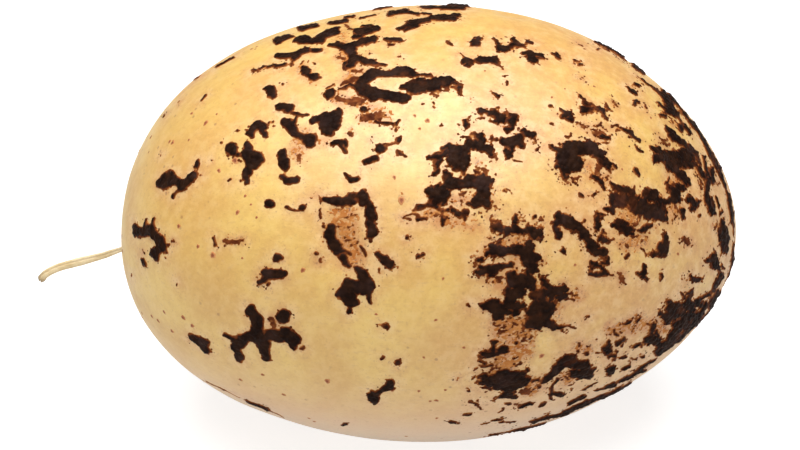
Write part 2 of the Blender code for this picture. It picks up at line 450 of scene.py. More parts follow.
def stolon_mesh():
    """Rings along the route: radius = the route's share of the diameter, less two shrunken grooves that run
    along it, plus fine ribs, waves, noise and a bulge near the tip; the last rings close in unevenly, as a
    torn end does. Also how brown each point is: at the tip, at the root and along the deep groove."""
    heel = unit(HEEL_DIRECTION)[None]
    root = skin_points(heel)[0] + RAISE + egg_normals(heel)[0] * STOLON_GAP
    route = smooth_route(STOLON_ROUTE, STOLON_STEPS)
    middles = root + route[:, :3] * MM * (-1, 1, 1)
    along = unit(np.gradient(middles, axis=0))
    upward = unit(np.cross(along, (0.0, 1.0, 0.0)))
    sideways = np.cross(along, upward)
    turn = np.linspace(0, 2 * math.pi, STOLON_SIDES, endpoint=False)[None, :]
    run = np.linspace(0, 1, STOLON_STEPS)[:, None]

    groove = winding_groove(turn, run, *DEEP_GROOVE[:3])
    lesser = winding_groove(turn, run, *LESSER_GROOVE[:3])
    fading = np.sin(math.pi * np.clip(run * 1.1, 0, 1))
    shape = 1 - DEEP_GROOVE[3] * groove * fading - LESSER_GROOVE[3] * lesser
    shape = shape + RIB_SHARE * np.sin(9 * turn + 3 * run) + WAVE_SHARE * np.sin(23 * run + 2 * turn)
    bulge = TIP_BULGE_SHARE * np.exp(-(((run - TIP_BULGE_RUN) / 0.03) ** 2))
    shape = shape + bulge * (1 + 0.4 * np.sin(3 * turn))
    closing = np.sqrt(np.clip((1 - run) / 0.022, 0, 1)) * 0.55 + 0.45
    radius = route[:, 3:] * STOLON_DIAMETER / 2 * shape * closing
    outward = np.cos(turn)[..., None] * upward[:, None] + np.sin(turn)[..., None] * sideways[:, None]
    rings = middles[:, None] + outward * radius[..., None]
    torn = np.sin(3 * turn + 1) + 0.6 * np.sin(7 * turn)
    tear = np.clip((run - TEAR_RUN) / (1 - TEAR_RUN), 0, 1) * TEAR_DEPTH * torn
    rings = rings + along[:, None] * tear[..., None]

    flat = rings.reshape(-1, 3)
    rough = lattice_noise(flat, 0.9 * MM, 21) * 0.025 * MM + lattice_noise(flat, 0.35 * MM, 22) * 0.015 * MM
    flat = flat + outward.reshape(-1, 3) * rough[:, None]
    ends = np.stack((middles[0], middles[-1] - along[-1] * END_DOME))
    brown_tip = np.clip((run - 0.86) / 0.12, 0, 1) ** 1.5
    brown_root = 0.8 * np.exp(-run / 0.06)
    brown = np.clip(brown_tip + brown_root + 0.75 * groove, 0, 1)
    brown = np.concatenate((brown.reshape(-1), (1.0, 1.0)))
    return np.concatenate((flat, ends)), tube_faces(STOLON_STEPS, STOLON_SIDES), brown


def stolon_material():
    """Dry matt plant fibre: pale straw, browner in the groove, at the root and at the tip, with streaks."""
    made, tree, shader = new_material("dry stolon")
    place = add_node(tree, "ShaderNodeTexCoord").outputs["Object"]
    mottle, pits = grain(tree, 420.0, 2600.0)
    streaks = add_node(tree, "ShaderNodeMapping", {"Vector": place, "Scale": (0.12, 1.0, 1.0)}).outputs[0]
    lines = noise(tree, streaks, 4200.0, 3.0)
    base = blend(tree, reach(tree, mottle, 0.35, 0.65), STEM_STRAW, STEM_BUFF)
    base = blend(tree, reach(tree, lines, 0.50, 0.72, 0.0, 0.5), base, STEM_STREAK)
    base = blend(tree, combine(tree, "MULTIPLY", attribute(tree, "brown"), 0.72), base, STEM_BROWN)
    tree.links.new(base, shader.inputs["Base Color"])
    shader.inputs["Roughness"].default_value = 0.68
    add_bump(tree, shader, lines, 0.7, pits, 0.3, 0.5, 0.0001)
    return made


stem_points, stem_faces, stem_brown = stolon_mesh()
stolon = add_piece("dry_stolon", stem_points, stem_faces, stolon_material(), (("brown", stem_brown),))
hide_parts("stolon")


# ---- scurf -------------------------------------------------------------------------------------
# The scurf: ragged crusts of a skin fungus, black-brown and a few tenths of a millimetre thick, rusty where
# they are thin. They grew fast in the skin, which blushes round them and is soaked orange-brown in places.
SIGHT_DISTANCE = 470 * MM
SIGHT_ELEVATION = math.radians(30)
SHEET_CENTRE = np.array((0.0, 0.0, 31.66)) * MM
# How the sheet that the strokes were drawn on is moved and enlarged to lie true on the tuber.
SHEET_SHIFT = np.array((0.30, -0.29)) * MM
SHEET_SCALE = 1.0058
# Each stroke is (radius, across, up, across, up, ...) in millimetres on a sheet held square to the line of
# sight of someone who looks down at the tuber's middle from in front; a stroke of one point is a dot.
DARK_STROKES = (
    # the heel end
    (0.15, -31, 22.9, -28.3, 24.4), (0.2, -33.2, 18, -32.5, 18.8), (0.55, -26.1, 13.3, -25, 14.4),
    (0.5, -25, 14.4, -24, 14.1), (0.4, -24.3, 13.6, -23.8, 12.8), (0.4, -25.8, 12.9), (0.25, -27.9, 13.6),
    (0.2, -30.3, 11.7), (0.15, -23.4, 14.7), (0.15, -22.8, 14.8), (0.15, -22.6, 14.2), (0.7, -23.2, 19.2),
    (0.45, -23.6, 19.5, -22.6, 18.8), (0.15, -25.9, 22.4, -25.1, 22.5), (0.15, -24.7, 22.8, -23.9, 23.1),
    (0.2, -23.5, 22.8, -22.2, 23), (0.25, -21.9, 22.8, -20.8, 23.2), (0.2, -20, 23.3), (0.2, -21.3, 20.4),
    (1.15, -38.8, 5.9, -37.8, 6.4), (0.8, -37.4, 6.1, -36.2, 5.8), (0.75, -36, 5.6, -34.4, 7),
    (0.35, -34.0, 8.3, -33.8, 8.9), (0.15, -36, 5, -37.2, 4.2), (0.2, -37.2, 4.1),
    (0.4, -43, -0.3, -42.6, -1.4), (0.75, -42.5, -1.2, -40.6, -1), (0.25, -42.8, -0.6, -43, 0),
    (0.25, -41.4, -0.5, -41.4, 0.2), (0.25, -40.3, -0.5, -40.2, 0.4), (0.7, -40.3, -1.2, -39.3, -2.3),
    (0.6, -39.2, -2.3, -39, -3.5), (0.9, -39.2, -3.6, -39.9, -4.3), (0.3, -39.7, -5.2), (0.2, -38, -3.3),
    (0.2, -38.2, -4.2), (0.15, -38.5, -5.1), (0.3, -41.9, -5.4, -41.6, -6.1), (0.15, -43.4, -7.7),
    (0.15, -36.8, -8.6), (0.12, -39.2, 10), (1.0, -28.7, 10.9), (0.35, -27.6, 10.1), (0.6, -26.3, 11.3),
    (0.9, -26.3, 10.2, -25, 9.6), (1.25, -25.7, 9), (0.35, -24.6, 9.4, -24.2, 9.4), (0.8, -26.4, 7.6),
    (0.5, -26.8, 6.8, -26.6, 6), (0.2, -27.7, 6.4), (0.2, -29.4, 9.8), (0.2, -29.3, 6.2, -28.8, 6.5),
    (0.15, -33.2, 7.2), (0.15, -31.8, 9.2), (0.8, -23.3, 2.8), (0.25, -31.4, -2.2, -31.2, -3.4),
    (0.8, -22, -4.9), (0.45, -24.8, -8.5, -23.5, -8.2), (0.6, -23.8, -7.3, -22.8, -7.8),
    (0.8, -22.8, -7.6, -21.6, -7.6), (0.3, -23.5, -9.2),
    # low on the heel side
    (0.8, -26.1, -12.6, -25.2, -14.2), (0.9, -25, -14.4, -25.2, -16), (0.8, -25.3, -16.2, -27.2, -17),
    (0.9, -27.3, -17.2, -28, -18), (0.3, -28, -17.2, -29.7, -16.5), (0.6, -27.9, -18.8, -27.6, -19.8),
    (0.9, -25, -16.5, -23.8, -18), (0.7, -23.9, -18.3, -23.7, -19.5), (1.0, -23, -16.3, -21.8, -16.6),
    (0.95, -20.9, -16, -19.7, -17.2), (0.4, -19.7, -18.2), (0.2, -18.5, -18.3), (1.05, -21.2, -13.6),
    (0.55, -34.6, -16.7, -32.9, -17.6), (0.3, -33, -17.2, -32.3, -17.2), (0.3, -32.9, -17.9, -32.2, -18.7),
    (0.04, -32.5, -23.2, -30, -24.4, -27.6, -25.4), (0.14, -26.6, -25.9, -23.6, -27.2),
    (0.04, -23.6, -27.2, -21.3, -28.3),
    # the top, towards the heel
    (0.4, -22.3, 26.7, -20.2, 27.4), (0.4, -22.2, 24.4, -19.8, 24.4), (0.5, -19.8, 24.3, -17.7, 25.3),
    (0.35, -16.8, 25.2, -15.5, 25.3), (0.2, -18.5, 23.5), (0.15, -17.4, 23.7), (0.2, -16.6, 23.6),
    (0.8, -17.9, 22.3), (0.4, -17.5, 21.5, -16.3, 21.7), (0.15, -16.3, 21.6, -15.5, 21.5),
    (0.35, -18.6, 28.5, -16.3, 29), (0.55, -19.1, 26.8, -15.7, 26.8), (0.55, -15.8, 27.3, -13.3, 28.2),
    (0.3, -14.7, 29.2, -12, 29.6), (0.15, -12.2, 30.2, -11, 30.3), (0.15, -10, 30, -7.8, 30.5),
    (0.12, -8, 31.2, -5.5, 31.7), (0.45, -10.7, 28, -7.6, 28.4), (0.2, -9.8, 29, -8.2, 28.9),
    (0.25, -11, 27.2, -9.8, 27.5), (0.3, -14.5, 26, -12.5, 26), (0.5, -13.2, 26.2, -11.8, 25.4),
    (0.55, -11.9, 25.6, -9.5, 26.6, -7.9, 27), (0.75, -11.5, 25.5, -11.2, 23.6),
    (0.55, -10.5, 24, -8.3, 23.5), (0.3, -12.3, 23.4, -12.2, 22.7), (0.4, -11.6, 23.2),
    (0.2, -8.3, 23.3, -6.3, 23.2), (0.15, -8.6, 24.8), (0.35, -6.3, 26.9, -4.2, 26.8),
    (0.12, -6, 26.1, -5.1, 26.1), (0.35, -5.9, 30.6, -3.2, 31.1), (0.25, -4, 30.9, -1.5, 30.6),
    (0.15, -1, 30.8, 0.3, 30.8), (0.2, -1.1, 31.6, 2.1, 31.6, 5.1, 31.3), (0.2, 2.9, 32, 5.9, 31.8),
    (0.3, -4.5, 28.4, -2.6, 29.2), (0.3, -3.4, 28.3, -1.8, 28.8), (0.45, -2.8, 29.3, 0, 29.8),
    (0.3, 0.2, 30.1, 4.3, 30.2), (0.45, 1.2, 30.1, 3.6, 29.8), (0.2, -4.1, 24.5),
    (0.75, -9.9, 20.6, -8, 21.8), (0.55, -8, 21.9, -2.5, 22), (0.5, -4.5, 22.4, -2.5, 22.3),
    (0.95, -9.9, 19.8, -8, 19), (0.75, -8, 18.9, -3.2, 18.3), (0.4, -4, 20.1, -2.6, 20.2),
    (1.0, -2.4, 20, 1, 20.3), (0.9, 1, 20.6, 2.8, 20.8), (0.3, 3, 20.8, 3.9, 21),
    (0.3, -2.3, 21.7, 0.3, 21.8), (0.12, 3.5, 20.5, 5, 20.1), (0.15, 3.2, 19.9, 4.4, 19.6, 4.8, 19),
    (0.15, 4.2, 20.2, 4.9, 19.6), (0.12, 0.7, 19, 1.7, 18.7), (0.2, 0.7, 17.6), (0.15, 0.6, 17, 0.9, 16.9),
    (0.2, -0.9, 17.5),
    # the top, above the middle
    (0.9, -14.4, 18.9), (0.15, -14.9, 20, -14, 20.5), (0.15, -13, 19.7, -12, 19.8, -11.2, 20.4),
    (0.3, -11.2, 20, -9.9, 20), (0.5, -9.3, 16.6), (0.25, -7.5, 15, -6.3, 14.6, -5.4, 14.4),
    (0.25, -4.7, 14.4, -4.1, 14.9), (0.25, -4.9, 13.6), (0.55, -4.6, 12.3), (0.15, -6.5, 11.8, -5.2, 11.8),
    (0.85, -7, 11.1), (0.5, -14, 11.6, -12.2, 11.8), (0.4, -12.8, 11.2, -12.2, 10.5),
    (0.6, -17, 15.2, -15, 15.8), (0.85, -15, 15.5, -13.2, 16), (1.05, -15, 14.6, -13.8, 14.6),
    (0.7, -15.2, 13.6, -14.5, 13.4), (0.6, -21.8, 16.9, -20.2, 17), (0.25, -19.8, 16.1, -18, 16.1),
    (0.6, -21.2, 15, -20.2, 14.3), (0.6, -20.4, 14.8, -19.6, 13.6), (0.3, -19.4, 14.8, -19.2, 15.6),
    (0.5, -19.5, 13.5, -18.5, 12.8), (1.1, -17.3, 12.2),
    # the middle, with its ring
    (0.8, -21.3, 9.9, -21, 8.6), (0.45, -21.4, 7, -20.5, 6.3), (0.55, -20.5, 6.3, -19.3, 6.3),
    (0.55, -18.5, 2.6), (0.35, -20.7, 2.3), (0.12, -20.4, 2.2, -19.2, 2.1), (0.3, -12.2, 7, -11.4, 6.5),
    (0.4, -11.4, 6.4, -10.2, 6.5), (0.3, -9.4, 8.7, -8.6, 9), (0.5, -8.7, 9, -7.6, 9.5),
    (0.3, -4.7, 10.6, -4.2, 10.3), (0.3, -4.3, 10.1, -3.4, 9.9), (0.65, -14.8, 3.6, -13.6, 3.4),
    (0.7, -13.4, 3.4, -11.4, 3.2), (0.4, -11.4, 3.9, -10, 4), (0.9, -9.6, 4.2, -9.6, 3.4),
    (0.5, -8.9, 2.8, -8.2, 2), (0.95, -8.4, 1.4, -8.2, 0.9), (0.9, -8.4, -0.4, -8.1, -1.2),
    (0.25, -8.4, -2.3), (0.3, -15.5, -0.3), (0.8, -14.3, -0.6, -14.7, -1.7), (1.0, -14, -2.9, -13.3, -3.6),
    (0.3, -12.5, -3.9, -11.5, -4.3), (0.5, -12.5, -4.9, -12.2, -5.6), (0.35, -12, -5.9, -11.6, -6.3),
    (0.25, -9.8, -2.9, -9, -4.5), (0.5, -7.3, -4.4, -6.8, -5), (0.9, -6.2, -5.6, -5.7, -6),
    (0.2, -7.2, -7.1), (0.5, -10.3, -6.5, -9.8, -7.3), (0.9, -9.5, -7.5, -9, -8.5),
    (1.1, -11.5, -9, -9, -9.3), (0.4, -12.6, -9.5, -13.2, -10.4), (1.1, -11.8, -10.5, -11.3, -11.5),
    (0.4, -8.6, -10.5, -8.4, -11.5), (0.5, -11.6, -13.1), (0.35, -16.5, -4.5), (0.15, -17.2, 3.6),
    (0.3, -3.2, -2.1), (0.3, -1.4, -4.9, -0.7, -4.6), (0.35, -1.6, 2.3, 0, 2.8), (0.2, -2.3, 1.7, -1, 2.2),
    (0.15, -3.8, 1.1, -1.5, 1.1), (0.4, -1.8, 0.4, -0.7, 0.5),
    # low, below the middle
    (0.5, -6.6, -15.1, -6.1, -15.3), (0.35, -6.7, -19.6), (0.6, -4.7, -20.4), (0.75, -5.5, -23.6),
    (0.5, -7.6, -24.8, -6.2, -24), (0.7, -8.4, -25, -7.9, -25.8), (0.2, -8.4, -24.3),
    (0.2, -12.5, -29.3, -11.7, -29.3),
    # the comet and the specks above the right
    (0.2, 2.9, 26.5, 3.6, 26.2), (0.7, 6.8, 26.5, 7.2, 26.6), (0.2, 7.1, 27.2),
    (0.3, 9.6, 26.9, 10.4, 26.2), (0.5, 10.3, 25.5, 11.5, 25.4), (0.25, 11.7, 25.9, 12.3, 26.1),
    (0.35, 12.3, 26.9, 13, 26.3), (0.3, 13, 26.3, 14, 26), (0.5, 12.9, 26.4),
    (0.25, 14.5, 26.6, 15.3, 26.4), (0.25, 13.7, 24.9, 14.9, 25.1), (0.75, 14.9, 24.4), (0.5, 15.1, 23.8),
    (0.3, 15.5, 24.6, 16.6, 24.5), (0.15, 18, 24.8, 18.8, 24.7), (0.35, 19, 24.6), (0.15, 19.2, 24.2),
    (0.12, 4.7, 24.9, 5.3, 24.3), (0.6, 5.3, 23.7, 6.2, 23.6), (0.55, 7.4, 23.7, 9.8, 23.8),
    (0.12, 10.1, 23.2, 10.7, 22.7), (0.2, 11.2, 21.6), (0.25, 11.4, 20.8), (0.25, 9.5, 19, 10.2, 18.6),
    (0.1, 6.4, 18.2), (0.12, 6.1, 15.7), (0.3, 5, 14.8, 5.3, 13.9), (0.15, 5.6, 15), (0.2, 5.7, 14.2),
    (0.2, 1.9, 14.3), (0.35, 7.3, 16.5, 9.5, 16.3), (0.2, 10.1, 17.1), (0.6, 9.5, 16.2, 10.8, 15.6),
    (0.5, 9.9, 15.1, 10.8, 15), (0.2, 9, 15, 10, 14.8), (0.12, 8, 15.6, 7.3, 15.5),
    (0.4, 11.9, 15.9, 12.9, 15.5), (0.6, 12.2, 14.8), (0.45, 12.8, 15), (0.35, 11.2, 13.9, 12.2, 14.1),
    (0.25, 13.9, 13.6, 14.3, 13.9), (0.2, 14.3, 13.5), (0.6, 14.6, 13, 15.3, 13.1),
    (0.25, 15.3, 12.6, 15.6, 12.1), (0.2, 15.8, 13.5), (0.25, 15.9, 10.8), (0.25, 19.3, 16.6, 20.1, 16.1),
    (0.45, 20.1, 16), (0.3, 20.5, 16.2), (0.3, 19.5, 15.5, 20.7, 15.5), (0.25, 20.3, 15.1, 21, 14.9),
    (0.25, 18.2, 14.6), (0.2, 17.8, 17.3), (0.2, 21.5, 23.7, 21.9, 23.7), (0.15, 22.5, 23.8),
    (0.2, 21.7, 23.1, 22.3, 23.1), (0.2, 24.8, 25.5),
    # the branched mass above the middle right
    (0.15, 4.8, 12.7, 5.8, 12.5), (0.25, 6.1, 13.1, 6.8, 13), (0.6, 7.4, 12.8), (0.5, 7.9, 12.2),
    (0.35, 9.3, 12.4), (0.3, 9.9, 12.4), (0.75, 11.2, 12, 13.2, 12.2), (0.5, 13.3, 11.6),
    (0.2, 13.5, 11.4, 14, 11.3), (0.3, 1.8, 11.1, 3, 11.6), (0.6, 3, 10.9, 6.5, 11.3),
    (0.75, 6.2, 11.6, 9, 11.1), (0.6, 8.9, 11, 9.5, 10), (0.55, 11.5, 10.6, 11.8, 9.6), (0.5, 12.2, 11.1),
    (0.2, 10.2, 9.6), (0.2, 12.8, 9.1, 13.8, 9.2), (0.15, 0.9, 10.4, 1.7, 10.4), (0.35, 0.3, 9.9, 1.8, 9.7),
    (0.5, 1, 8.8, 1.9, 9.2), (0.3, 1.1, 8.2), (0.9, 3.3, 10.3, 5, 10.4), (0.9, 3.6, 9, 5.1, 9.2),
    (0.5, 2.2, 10), (0.5, 4, 8.3, 5, 8.2), (0.25, 5.2, 7.6, 5.4, 7.9), (0.35, 0.6, 7.3, 1.3, 7.7),
    (0.2, 6.9, 7.9, 7.2, 7.6), (0.2, 7.7, 8.1, 8.8, 7.8), (0.2, 9.8, 7.2), (0.15, 8.5, 7.4),
    (0.45, 2.3, 6.9, 3.5, 6.9), (0.95, 2.8, 6, 8.5, 6), (0.6, 6, 6.8, 7.8, 6.7), (0.4, 8.6, 6, 9.3, 5.9),
    (0.5, 2, 5.3), (0.35, 0.3, 5, 0.8, 5.3), (0.95, 0.5, 4.5, 2.2, 4.4), (0.85, 0.9, 3.3, 1.8, 3.2),
    (0.4, 0.4, 2.7, 1.2, 2.4), (0.2, 4.5, 4.5, 5.6, 4.4), (0.8, 7.6, 4.6, 8.5, 4.4),
    (0.9, 7.2, 3.2, 8.3, 3.1), (0.5, 6.2, 2.7, 7.2, 2.4), (0.15, 11, 4.8), (0.15, 11.4, 5.1, 11.8, 5),
    (0.12, 12.2, 4.5), (0.5, 3.2, 1.8, 3.9, 1.6), (0.5, 3.9, 1.4, 5.6, 1.1), (0.35, 5, 0.6),
    (0.25, 5.5, 1.6, 6.1, 1.7), (0.35, 1.8, 1.8, 2.6, 2), (0.35, 1.7, 0.9, 1.9, 0), (0.2, 2.3, 0.7),
    # the middle right, and the arms below it
    (0.2, 9.3, 0.3, 10.6, 0.1), (0.7, 9.5, -0.6, 10.4, -0.6), (0.4, 12.9, 1), (0.35, 12.6, 0.5),
    (0.8, 11.8, -0.9, 14.8, -0.9), (0.25, 14.6, 0.1), (0.12, 13.9, 0.8), (0.7, 15.4, -1.5, 16.1, -1.4),
    (0.25, 16.4, -0.8), (0.25, 16.5, -2.2), (0.35, 15.6, 0.8), (0.15, 16.7, 0.3),
    (0.65, 14.8, -2.7, 15.1, -3.2), (0.2, 10.1, -2.9, 10.6, -2.4), (0.5, 9, -3.2, 10, -3.6),
    (0.45, 8.3, -4.4, 10.5, -4.1), (0.8, 10.5, -4, 15, -3.9), (0.95, 13.7, -4.2, 15.5, -4.5),
    (0.5, 15.6, -4.8, 16.3, -4.6), (0.95, 15, -6, 15.2, -6.5), (0.85, 14.1, -5.4, 15, -5.5),
    (0.6, 14.5, -6.9, 15.3, -7), (0.4, 7.1, -5.1, 7.6, -5), (0.6, 7.6, -6.2, 9.5, -6.4),
    (0.55, 9.5, -6.3, 11.9, -6.3), (0.5, 7.2, -7.2, 9.6, -7), (0.3, 8.9, -7.7, 9.6, -7.6),
    (0.8, 12.2, -7.8, 14.2, -8), (0.95, 12.8, -8.8, 14.8, -8.9), (0.8, 11.8, -10.3, 13.3, -10.2),
    (0.9, 12, -11.5, 13.1, -11.9), (0.35, 16.5, -8.2, 17.3, -8.5), (0.5, 17, -8.9, 17.4, -9.1),
    (0.8, 15.5, -10.5, 18, -10.2), (0.7, 18, -9.8, 20, -9.6), (0.5, 18.7, -10.7, 20, -10.6),
    (0.15, 20.5, -9.5), (0.5, 7.9, -11.8, 9, -11.6), (0.5, 9, -11.4, 10.3, -11.6),
    (0.5, 8.3, -12.1, 9.5, -12.5), (1.0, 9.9, -12.8, 10.8, -12.6), (0.5, 9.6, -13.5, 10.4, -13.6),
    (0.7, 12.8, -12.9), (0.4, 11.7, -12.7), (1.1, 16, -12, 17.2, -12), (1.1, 15.2, -13, 16.6, -13.5),
    (0.8, 14.9, -14.5, 15.6, -15.2), (0.6, 15.9, -14.5), (0.65, 17, -14.6, 18.3, -14.8), (0.4, 17.9, -13),
    (0.7, 17.4, -13.4), (0.4, 18.3, -14.9, 19.5, -15), (0.2, 19.5, -15, 21.2, -15.2), (0.25, 19.8, -15.7),
    (0.25, 12.8, -17.5), (0.12, 13.8, -17.9), (0.45, 9.4, -17.5, 9.2, -18.6), (0.5, 8, -18.9, 9.4, -19),
    (0.6, 10.3, -18.6, 11.3, -18.4), (0.2, 7.4, -19.3, 7.9, -19.3), (0.25, 7.5, -20, 8.4, -20.4),
    (0.2, 7.8, -20.9, 9.5, -20.9), (0.18, 6.5, -21.2, 6.9, -21.1), (0.15, 6.6, -22.4),
    (0.2, 7.2, -22.5, 8, -22.5), (0.15, 7.2, -23.3), (0.18, 12.6, -19.8), (0.15, 13.2, -19.5),
    (0.15, 12.8, -20.9), (0.4, 14.6, -21.4), (0.25, 15, -23.2, 15.9, -22.9),
    (0.2, 15.9, -23.8, 16.3, -23.8), (0.4, 10.3, -21.8, 11.5, -21.7), (0.8, 8.5, -23, 10, -22.8),
    (0.9, 10, -22.7, 13.6, -22.6), (0.8, 9.5, -23.3, 12, -23.8), (0.85, 12, -23.6, 13.6, -23.2),
    (0.6, 11.3, -24.6, 12, -24.8), (0.2, 8.1, -24, 9, -24.1), (0.35, 10.5, -25.4, 12.5, -25.3),
    (0.15, 9.3, -26, 9.9, -25.8), (0.25, 6.2, -26.1, 6.8, -26.5), (0.2, 7.3, -26.7, 7.6, -27),
    (0.15, 7.4, -26), (0.2, 11.3, -26.5, 11.8, -26.4), (0.25, 10.8, -27.2),
    (0.25, 13.5, -26.8, 14.8, -26.3), (0.25, 16.2, -26.6, 16.9, -26.4), (0.25, 5.2, -27.9, 6.4, -27.7),
    (0.25, 3.3, -29, 4, -29.1), (0.08, 7.6, -29.5, 9, -29.2), (0.12, 9.4, -29, 11, -28.7),
    (0.12, 10.2, -29.4, 11, -29.2), (0.15, 11.5, -29.2, 12.4, -29.1), (0.1, 4.2, -22.5), (0.1, 4, -23),
    (0.2, 5.9, -24.3), (0.3, 6, -11.8), (0.55, 19.3, -20.2, 20.8, -19.5), (0.85, 20, -20.3, 22.9, -20.8),
    (0.65, 21.2, -22, 23.5, -21.9), (0.5, 18.9, -21.3, 19.8, -20.5), (0.5, 17.2, -22.7, 18.8, -21.4),
    (0.25, 16.7, -23.1, 17.5, -22.8), (0.25, 18.9, -22.8, 18.2, -24), (0.2, 18.1, -24, 18, -25.8),
    (0.25, 18.2, -24.8, 19.6, -24.9), (0.2, 18.9, -25.1, 19.4, -25.1), (0.12, 20.9, -24.3),
    (0.12, 20.9, -23.6), (0.3, 21.8, -18.6), (0.2, 22.1, -17.6), (0.2, 15, -29, 17.5, -28.4, 20.5, -27.5),
    (0.3, 20.5, -26.3, 22.8, -25.2), (0.12, 9, -30.9, 14, -30, 17, -29.2), (0.3, 20, -27.6, 23, -26.2),
    (0.25, 23, -26.2, 25.5, -25.3), (0.2, 25.5, -25.3, 28, -24.3, 29.5, -23.3),
    # the right, above
    (0.25, 17.9, 11.2, 18.6, 10.8), (0.4, 18.2, 11, 18.8, 10.6), (0.25, 20.5, 12.6, 20.9, 12.8),
    (1.0, 20.5, 11, 24, 11.2), (1.0, 19.3, 9.9, 22.3, 10.8), (1.0, 19.7, 8.9, 21.6, 9),
    (0.65, 20.3, 7.9, 21.6, 8), (0.6, 24, 10.6, 25.2, 10.2), (0.55, 24.6, 9.9, 25.3, 9.3),
    (0.6, 25.3, 9.2, 26.2, 8.5), (0.2, 26.5, 7.9, 26.7, 7.5), (0.35, 19.5, 7.5, 19.7, 6.9),
    (0.3, 20.2, 6.8), (0.3, 18.5, 8.5), (0.4, 24.2, 6.9, 25.2, 6.1), (0.3, 25.3, 5.8, 25.8, 5.2),
    (0.25, 27, 8.5, 27.3, 8.2), (0.35, 30.3, 7.9, 30.6, 7.4), (0.2, 30.8, 7.2), (0.3, 22, 4.2, 22.5, 3.9),
    (0.25, 23.9, 4.1, 24.3, 4.3), (0.25, 22, 18.6, 22.9, 18.1), (0.45, 22.9, 17.5, 23.5, 17.4),
    (0.45, 22.6, 16.5, 23.8, 16.6), (0.5, 24.7, 16.9, 25.4, 16.6), (0.25, 25.5, 16.2, 25.9, 15.5),
    (0.3, 26, 17.4), (0.15, 26.3, 17.1, 26.6, 16.7), (0.4, 25.2, 12.9, 26.2, 12.6),
    (0.15, 25.6, 11.8, 26.4, 11.8), (0.15, 26.8, 14.3, 27.4, 14.6, 28, 14.1),
    (0.15, 27.3, 13.6, 27.8, 13.6), (0.4, 28.5, 13.9, 29.5, 13.3), (0.25, 29.5, 13, 30.8, 12.2),
    (0.2, 30.4, 11.4, 30.5, 11), (0.2, 30.6, 10.9, 31.2, 10.5), (0.2, 29.1, 20, 29.7, 19.5),
    (0.25, 29.6, 19.6, 30.4, 19.1), (0.15, 30.1, 20.2, 31, 19.8), (0.4, 30.3, 17.6),
    (0.12, 31.6, 17.3, 31.9, 16.9), (0.15, 24.5, 26.5, 26.5, 25.5, 28.5, 24.2),
    (0.25, 29.9, 23.1, 31.3, 22), (0.15, 31.3, 21, 33, 19.7), (0.3, 33, 19.7, 34.2, 18.9),
    (0.4, 34, 19.2, 34.8, 18.2), (0.5, 34.6, 18.3, 35.3, 17.4), (0.5, 35, 17, 36.2, 16),
    (0.3, 34.6, 16.3, 35.6, 16.2), (0.2, 33.6, 17.7, 34.3, 16.9), (0.25, 34, 15.6, 34.9, 15.4),
    (0.15, 36.4, 15.8, 37, 14.8), (0.3, 36.8, 14.3, 37, 13.8), (0.25, 37.4, 14.3, 38.2, 13.2),
    (0.2, 37.3, 16.1, 38.9, 13.9), (0.12, 35.2, 18.8, 37.2, 16.2), (0.12, 39, 13.8, 40.2, 12.2),
    (0.2, 40, 12.3, 41.3, 10.2), (0.3, 34.8, 13.8, 35.6, 13.2), (0.5, 35.5, 13, 37, 12),
    (0.4, 35.8, 12.3, 36.4, 12), (0.4, 37, 12, 38.3, 11), (0.3, 38, 11.3, 39, 10.4),
    # the right, middle
    (0.5, 32.7, 10.9, 33.5, 10.8), (0.7, 33.2, 9.7, 34.5, 9.8), (0.85, 34.5, 9.8, 38.4, 9.6),
    (0.4, 36.8, 10.6, 38.3, 10.8), (0.6, 35.2, 8.6, 38.6, 8.5), (0.6, 35.8, 8, 36.9, 7.2),
    (0.65, 37, 7.1, 37.8, 6.3), (0.5, 36.4, 5.7, 37, 5.3), (0.3, 38.2, 5.9), (0.25, 35.1, 6.7, 34.8, 5.8),
    (0.2, 35.1, 5.2, 35.3, 4.9), (0.3, 39.2, 10.2, 39.5, 8.8), (0.7, 36.1, 5, 36.2, 3.6),
    (0.3, 26.6, 6, 27.6, 5.5), (0.6, 27.3, 5.3, 29.3, 4.8), (0.5, 28.6, 5.2, 29.5, 5),
    (0.85, 27.1, 3.8, 28.5, 3.7), (0.9, 28, 3, 29.8, 3.4), (0.85, 29.6, 3, 31, 2.8),
    (1.0, 32, 4.2, 32.9, 4), (0.6, 29.6, 2.3, 31, 2.2), (1.0, 30.6, 1.9, 33.6, 1.7),
    (0.5, 32, 0.9, 34.4, 0.8), (0.6, 34, 3, 36, 3.2), (0.35, 25.7, 2.3, 26.9, 2), (0.3, 26.9, 3.2, 27, 1.5),
    (0.15, 30, 5.5), (0.15, 31, 5.6), (0.3, 38, 4.3), (0.6, 37.8, 3.5, 38.7, 3),
    (0.3, 38.9, 2.5, 39.5, 3.5), (0.3, 38.2, 2, 38.8, 1.9), (0.4, 37, 2, 37.3, 0.9), (0.25, 39.6, 1.1),
    (0.25, 24.6, 1.5, 25.6, 1.3), (0.55, 24.8, 0.7, 24.6, -0.6), (0.35, 26.8, -0.4, 27.6, -0.3),
    (0.5, 27.6, 0.2, 29, 0.1), (0.8, 27.9, -0.8, 29.4, -0.9), (0.35, 29.3, -1.6, 29.8, -1.6),
    (0.45, 31.1, -0.8, 31.8, -0.6), (0.25, 31.9, -0.5, 32.8, -0.3), (0.3, 25.5, -1.3),
    (0.45, 25.2, -2.1, 26, -2.4), (0.2, 27, -2.3), (0.2, 26.3, -2.8),
    # the arc and its tail
    (0.35, 19.3, 1.2, 20, 1.1), (0.6, 18.9, -0.1, 20.2, 0.5), (0.8, 19.3, 0.6, 21, -0.1),
    (0.75, 21, -0.2, 22.6, -0.9), (0.5, 18.6, -0.6, 19.3, -1.6), (0.35, 19.2, -2.2),
